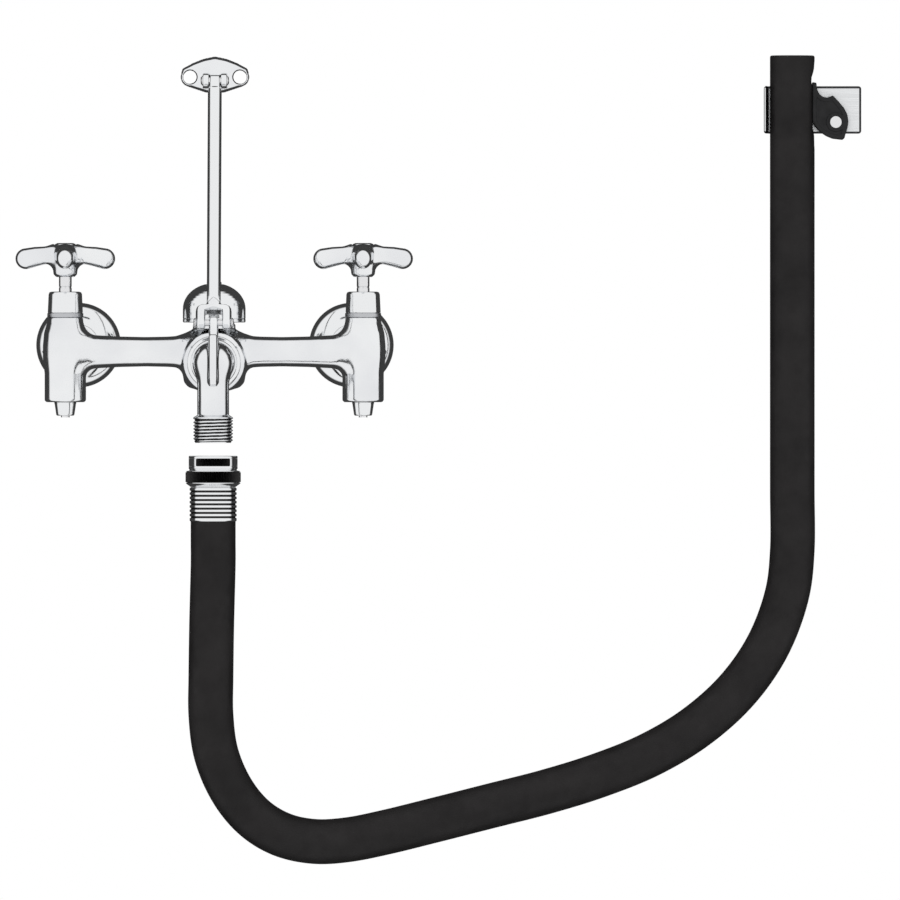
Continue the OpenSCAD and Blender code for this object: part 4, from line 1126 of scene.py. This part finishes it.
def blank_distance(x, z):
    """Distance from the outline of the bracket's sheet, seen from the front."""
    across = np.abs(x - (PLATE_LEFT + PLATE_RIGHT) / 2) - (PLATE_RIGHT - PLATE_LEFT) / 2
    up = np.abs(z - PLATE_Z) - PLATE_HALF
    return corner_distance(across + PLATE_CORNER, up + PLATE_CORNER) - PLATE_CORNER


def bracket_distance(x, y, z):
    sheet = path_distance(CLAW_LINE, x, y) - SHEET_HALF
    holes = np.hypot(x - ROUTE[-1][0], np.abs(z - PLATE_Z) - PLATE_HOLE) - PLATE_HOLE_R
    holes = np.where(y > -5, holes, 9)  # not through the claw's front
    return blend_max(bevelled(sheet, blank_distance(x, z), EDGE), -holes, 0.3)


CAM_FACE = -16.1
CAM_HALF = 7
CAM_Y = middle("cam")[1]
CAM_HUB_R = 6.4
CAM_OUTLINE = soften([
    (CAM_FACE, 0.9, 1), (CAM_FACE, 27.4, 0.7), (-13.2, 26.9, 0.7), (-12.7, 22.6, 3), (-11.2, 19.2, 4),
    (-8.4, 17.1, 4), (-5.4, 16.7, 4), (-2, 18.3, 0.8), (2, 14.1, 6), (5.6, 9.8, 8), (7.9, 5.5, 8),
    (8.8, 0.6, 8), (8, -4.3, 8), (6.8, -8, 6), (6, -11, 1.5), (4.7, -12.1, 1), (2.6, -11.9, 3),
    (-2.3, -11.3, 6), (-6.6, -9.5, 8), (-11.5, -6.1, 8), (-14.6, -2.4, 4),
], 1, 3, closed=True)


def cam_distance(x, y, z):
    across, up = x - CAM_PIN[0], z - CAM_PIN[2]
    out = CAM_Y - y
    flat = outline_distance(CAM_OUTLINE, across, up)
    body = slab(flat, out, CAM_HALF, 1)
    hub = rod(np.hypot(across, up), out, CAM_HUB_R, 0, CAM_HALF + 0.1)
    recess = slab(flat + 3, out - CAM_HALF, 0.6, 0.3)
    return blend_min(blend_max(body, -recess, 0.6), hub, 0.5)


def make_bracket():
    lowest = (PLATE_LEFT - 2, -34, PLATE_Z - PLATE_HALF - 2)
    highest = (PLATE_RIGHT + 2, 2, PLATE_Z + PLATE_HALF + 2)
    form = skinned(bracket_distance, lowest, highest, 0.5)
    bracket = add_piece("wall_bracket", *form, STEEL, "hose_bracket")
    # Painted shade: a dark border along the sheet's edges, wider on the side that faces the room
    shade(bracket, EDGE_SHADE_STEEL, lambda x, y, z: (
        blank_distance(np.maximum(x, CLAW_SIDE), z) > np.where(y < -1.5, -SHADE_BORDER, -EDGE)
    ))
    lowest = (CAM_PIN[0] - 19, CAM_Y - 9, CAM_PIN[2] - 15)
    highest = (CAM_PIN[0] + 12, CAM_Y + 9, CAM_PIN[2] + 30)
    add_piece("grip_cam", *skinned(cam_distance, lowest, highest, 0.45), GRIP_RUBBER, "cam")
    pin = turned([
        (0, 1.9), (5, 1.9, 0.2), (5, 14.8, 0.3), (3, 14.9), (3, 29), (4.2, 29.15, 0.2), (4.2, 30.2, 0.8),
        (3, 31, 0.8), (0, 31.1),
    ], 72)
    add_at(at(CAM_PIN[0], 0, CAM_PIN[2]) @ OUTWARD, "cam_bolt", pin, TURNED_STEEL, "cam_pin")


# ---- Finishes of the nodes that stay as they are ----

INNER_FINISH = {
    TURNED_STEEL: ["handle_screw", "stop_stem"],
    BRASS: ["washer_screw", "valve_seat", "hose_shank"],
    WASHER_RUBBER: [
        "seat_washer", "stop_washer", "stop_packing", "inlet_washer", "spout_gasket", "hose_washer",
    ],
    FIBRE: ["packing", "vacuum_float"],
    SATIN: ["vacuum_cage"],
}


def finish_inner_nodes():
    for name, node in frame["nodes"].items():
        if node.hide_render:
            continue
        kind = name.removeprefix("left_").removeprefix("right_")
        node.data.materials.clear()
        node.data.materials.append(next(m for m, kinds in INNER_FINISH.items() if kind in kinds))


# ---- Studio ----

FLOOR_Z = -420
FLOOR_REACH = 2000
FLOOR_BACK = 1000
FADE_START, FADE_END = 0.55, 0.98  # parts of FLOOR_BACK
MIRROR_LIGHT, MIRROR_DARK = 1, 0.05
DARK_FROM, DARK_TO = 0.06, 0.26  # lean to the wall at which the mirrored dark begins and is full
DIFFUSE_LEVEL = 0.55
LIGHTS = (  # name, place and width in metres, watts
    ("key", (-1.2, -2.2, 1.8), 1.6, 36),
    ("fill", (1.8, -2.4, 0.6), 2.0, 20),
)


def fade_out(shader):
    """The camera sees the floor turn white at a distance from the object."""
    tree = shader.tree
    centre = PHOTO_CENTRE_X * MM, SUBJECT_Y * MM, FLOOR_Z * MM
    away = add_node(tree, "VectorMath", shader.place, centre, operation="DISTANCE")["Value"]
    start, end = FADE_START * FLOOR_BACK * MM, FADE_END * FLOOR_BACK * MM
    far = add_node(tree, "MapRange", away, start, end, 0, 1)["Result"]
    camera_ray = add_node(tree, "LightPath")["Is Camera Ray"]
    share = add_node(tree, "Math", far, camera_ray, operation="MULTIPLY")["Value"]
    plain = tree.nodes["Principled BSDF"].outputs["BSDF"]
    mix = add_node(tree, "MixShader", share, plain, add_node(tree, "Emission")["Emission"])
    feed(tree.nodes["Material Output"].inputs["Surface"], mix["Shader"])


def make_floor():
    """Pale floor: it keeps the object's shadow."""
    mesh = bpy.data.meshes.new("floor")
    x, back, z = FLOOR_REACH * MM, FLOOR_BACK * MM, FLOOR_Z * MM
    mesh.from_pydata([(-x, -x, z), (x, -x, z), (x, back, z), (-x, back, z)], [], [(0, 1, 2, 3)])
    floor = add_object("floor", mesh)
    floor.visible_glossy = False
    shader = Shader("pale_floor", (0.86, 0.86, 0.86), 0, 0.9)
    shader.vary_colour((3, 4), (0.85, 0.85, 0.85), (0.88, 0.88, 0.88))
    fade_out(shader)
    mesh.materials.append(shader.material)


def make_world():
    """White for the camera. Mirror-like surfaces see that white too, and dark towards the wall, which
    draws their edges. Diffuse light is a plain level."""
    world = bpy.data.worlds.new("studio")
    scene.world = world
    world.use_nodes = True
    tree = world.node_tree

    def combined(operation, a, b):
        return add_node(tree, "Math", a, b, operation=operation)["Value"]

    lean = add_node(tree, "SeparateXYZ", add_node(tree, "TexCoord")["Generated"])["Y"]
    path = add_node(tree, "LightPath")
    seen = combined("MAXIMUM", path["Is Camera Ray"], path["Is Transmission Ray"])
    glossy = path["Is Glossy Ray"]
    values = lean, DARK_FROM, DARK_TO, MIRROR_LIGHT, MIRROR_DARK
    mirrored = add_node(tree, "MapRange", *values, interpolation_type="SMOOTHSTEP")["Result"]
    diffuse = combined("MULTIPLY", combined("SUBTRACT", 1, glossy), DIFFUSE_LEVEL)
    unseen = combined("ADD", combined("MULTIPLY", glossy, mirrored), diffuse)
    rest = combined("MULTIPLY", combined("SUBTRACT", 1, seen), unseen)
    background = tree.nodes["Background"].inputs
    feed(background["Color"], (1, 1, 1, 1))
    feed(background["Strength"], combined("ADD", seen, rest))


def make_lights():
    target = Vector((PHOTO_CENTRE_X, SUBJECT_Y, PHOTO_CENTRE_Z)) * MM
    for name, place, width, power in LIGHTS:
        data = bpy.data.lights.new(name, "AREA")
        data.shape, data.size, data.energy = "DISK", width, power
        lamp = add_object(name, data)
        lamp.location = place
        lamp.rotation_euler = (target - Vector(place)).to_track_quat("-Z", "Y").to_euler()
        lamp.visible_glossy = False


for make in (
    make_camera, make_casting, make_handles, make_valves, make_inlets, make_vacuum_breaker, make_spout,
    make_brace, make_flange, make_coupling, make_ferrule, make_hose, make_bracket, finish_inner_nodes,
    make_floor, make_world, make_lights,
):
    make()
scene.view_settings.view_transform = "Standard"
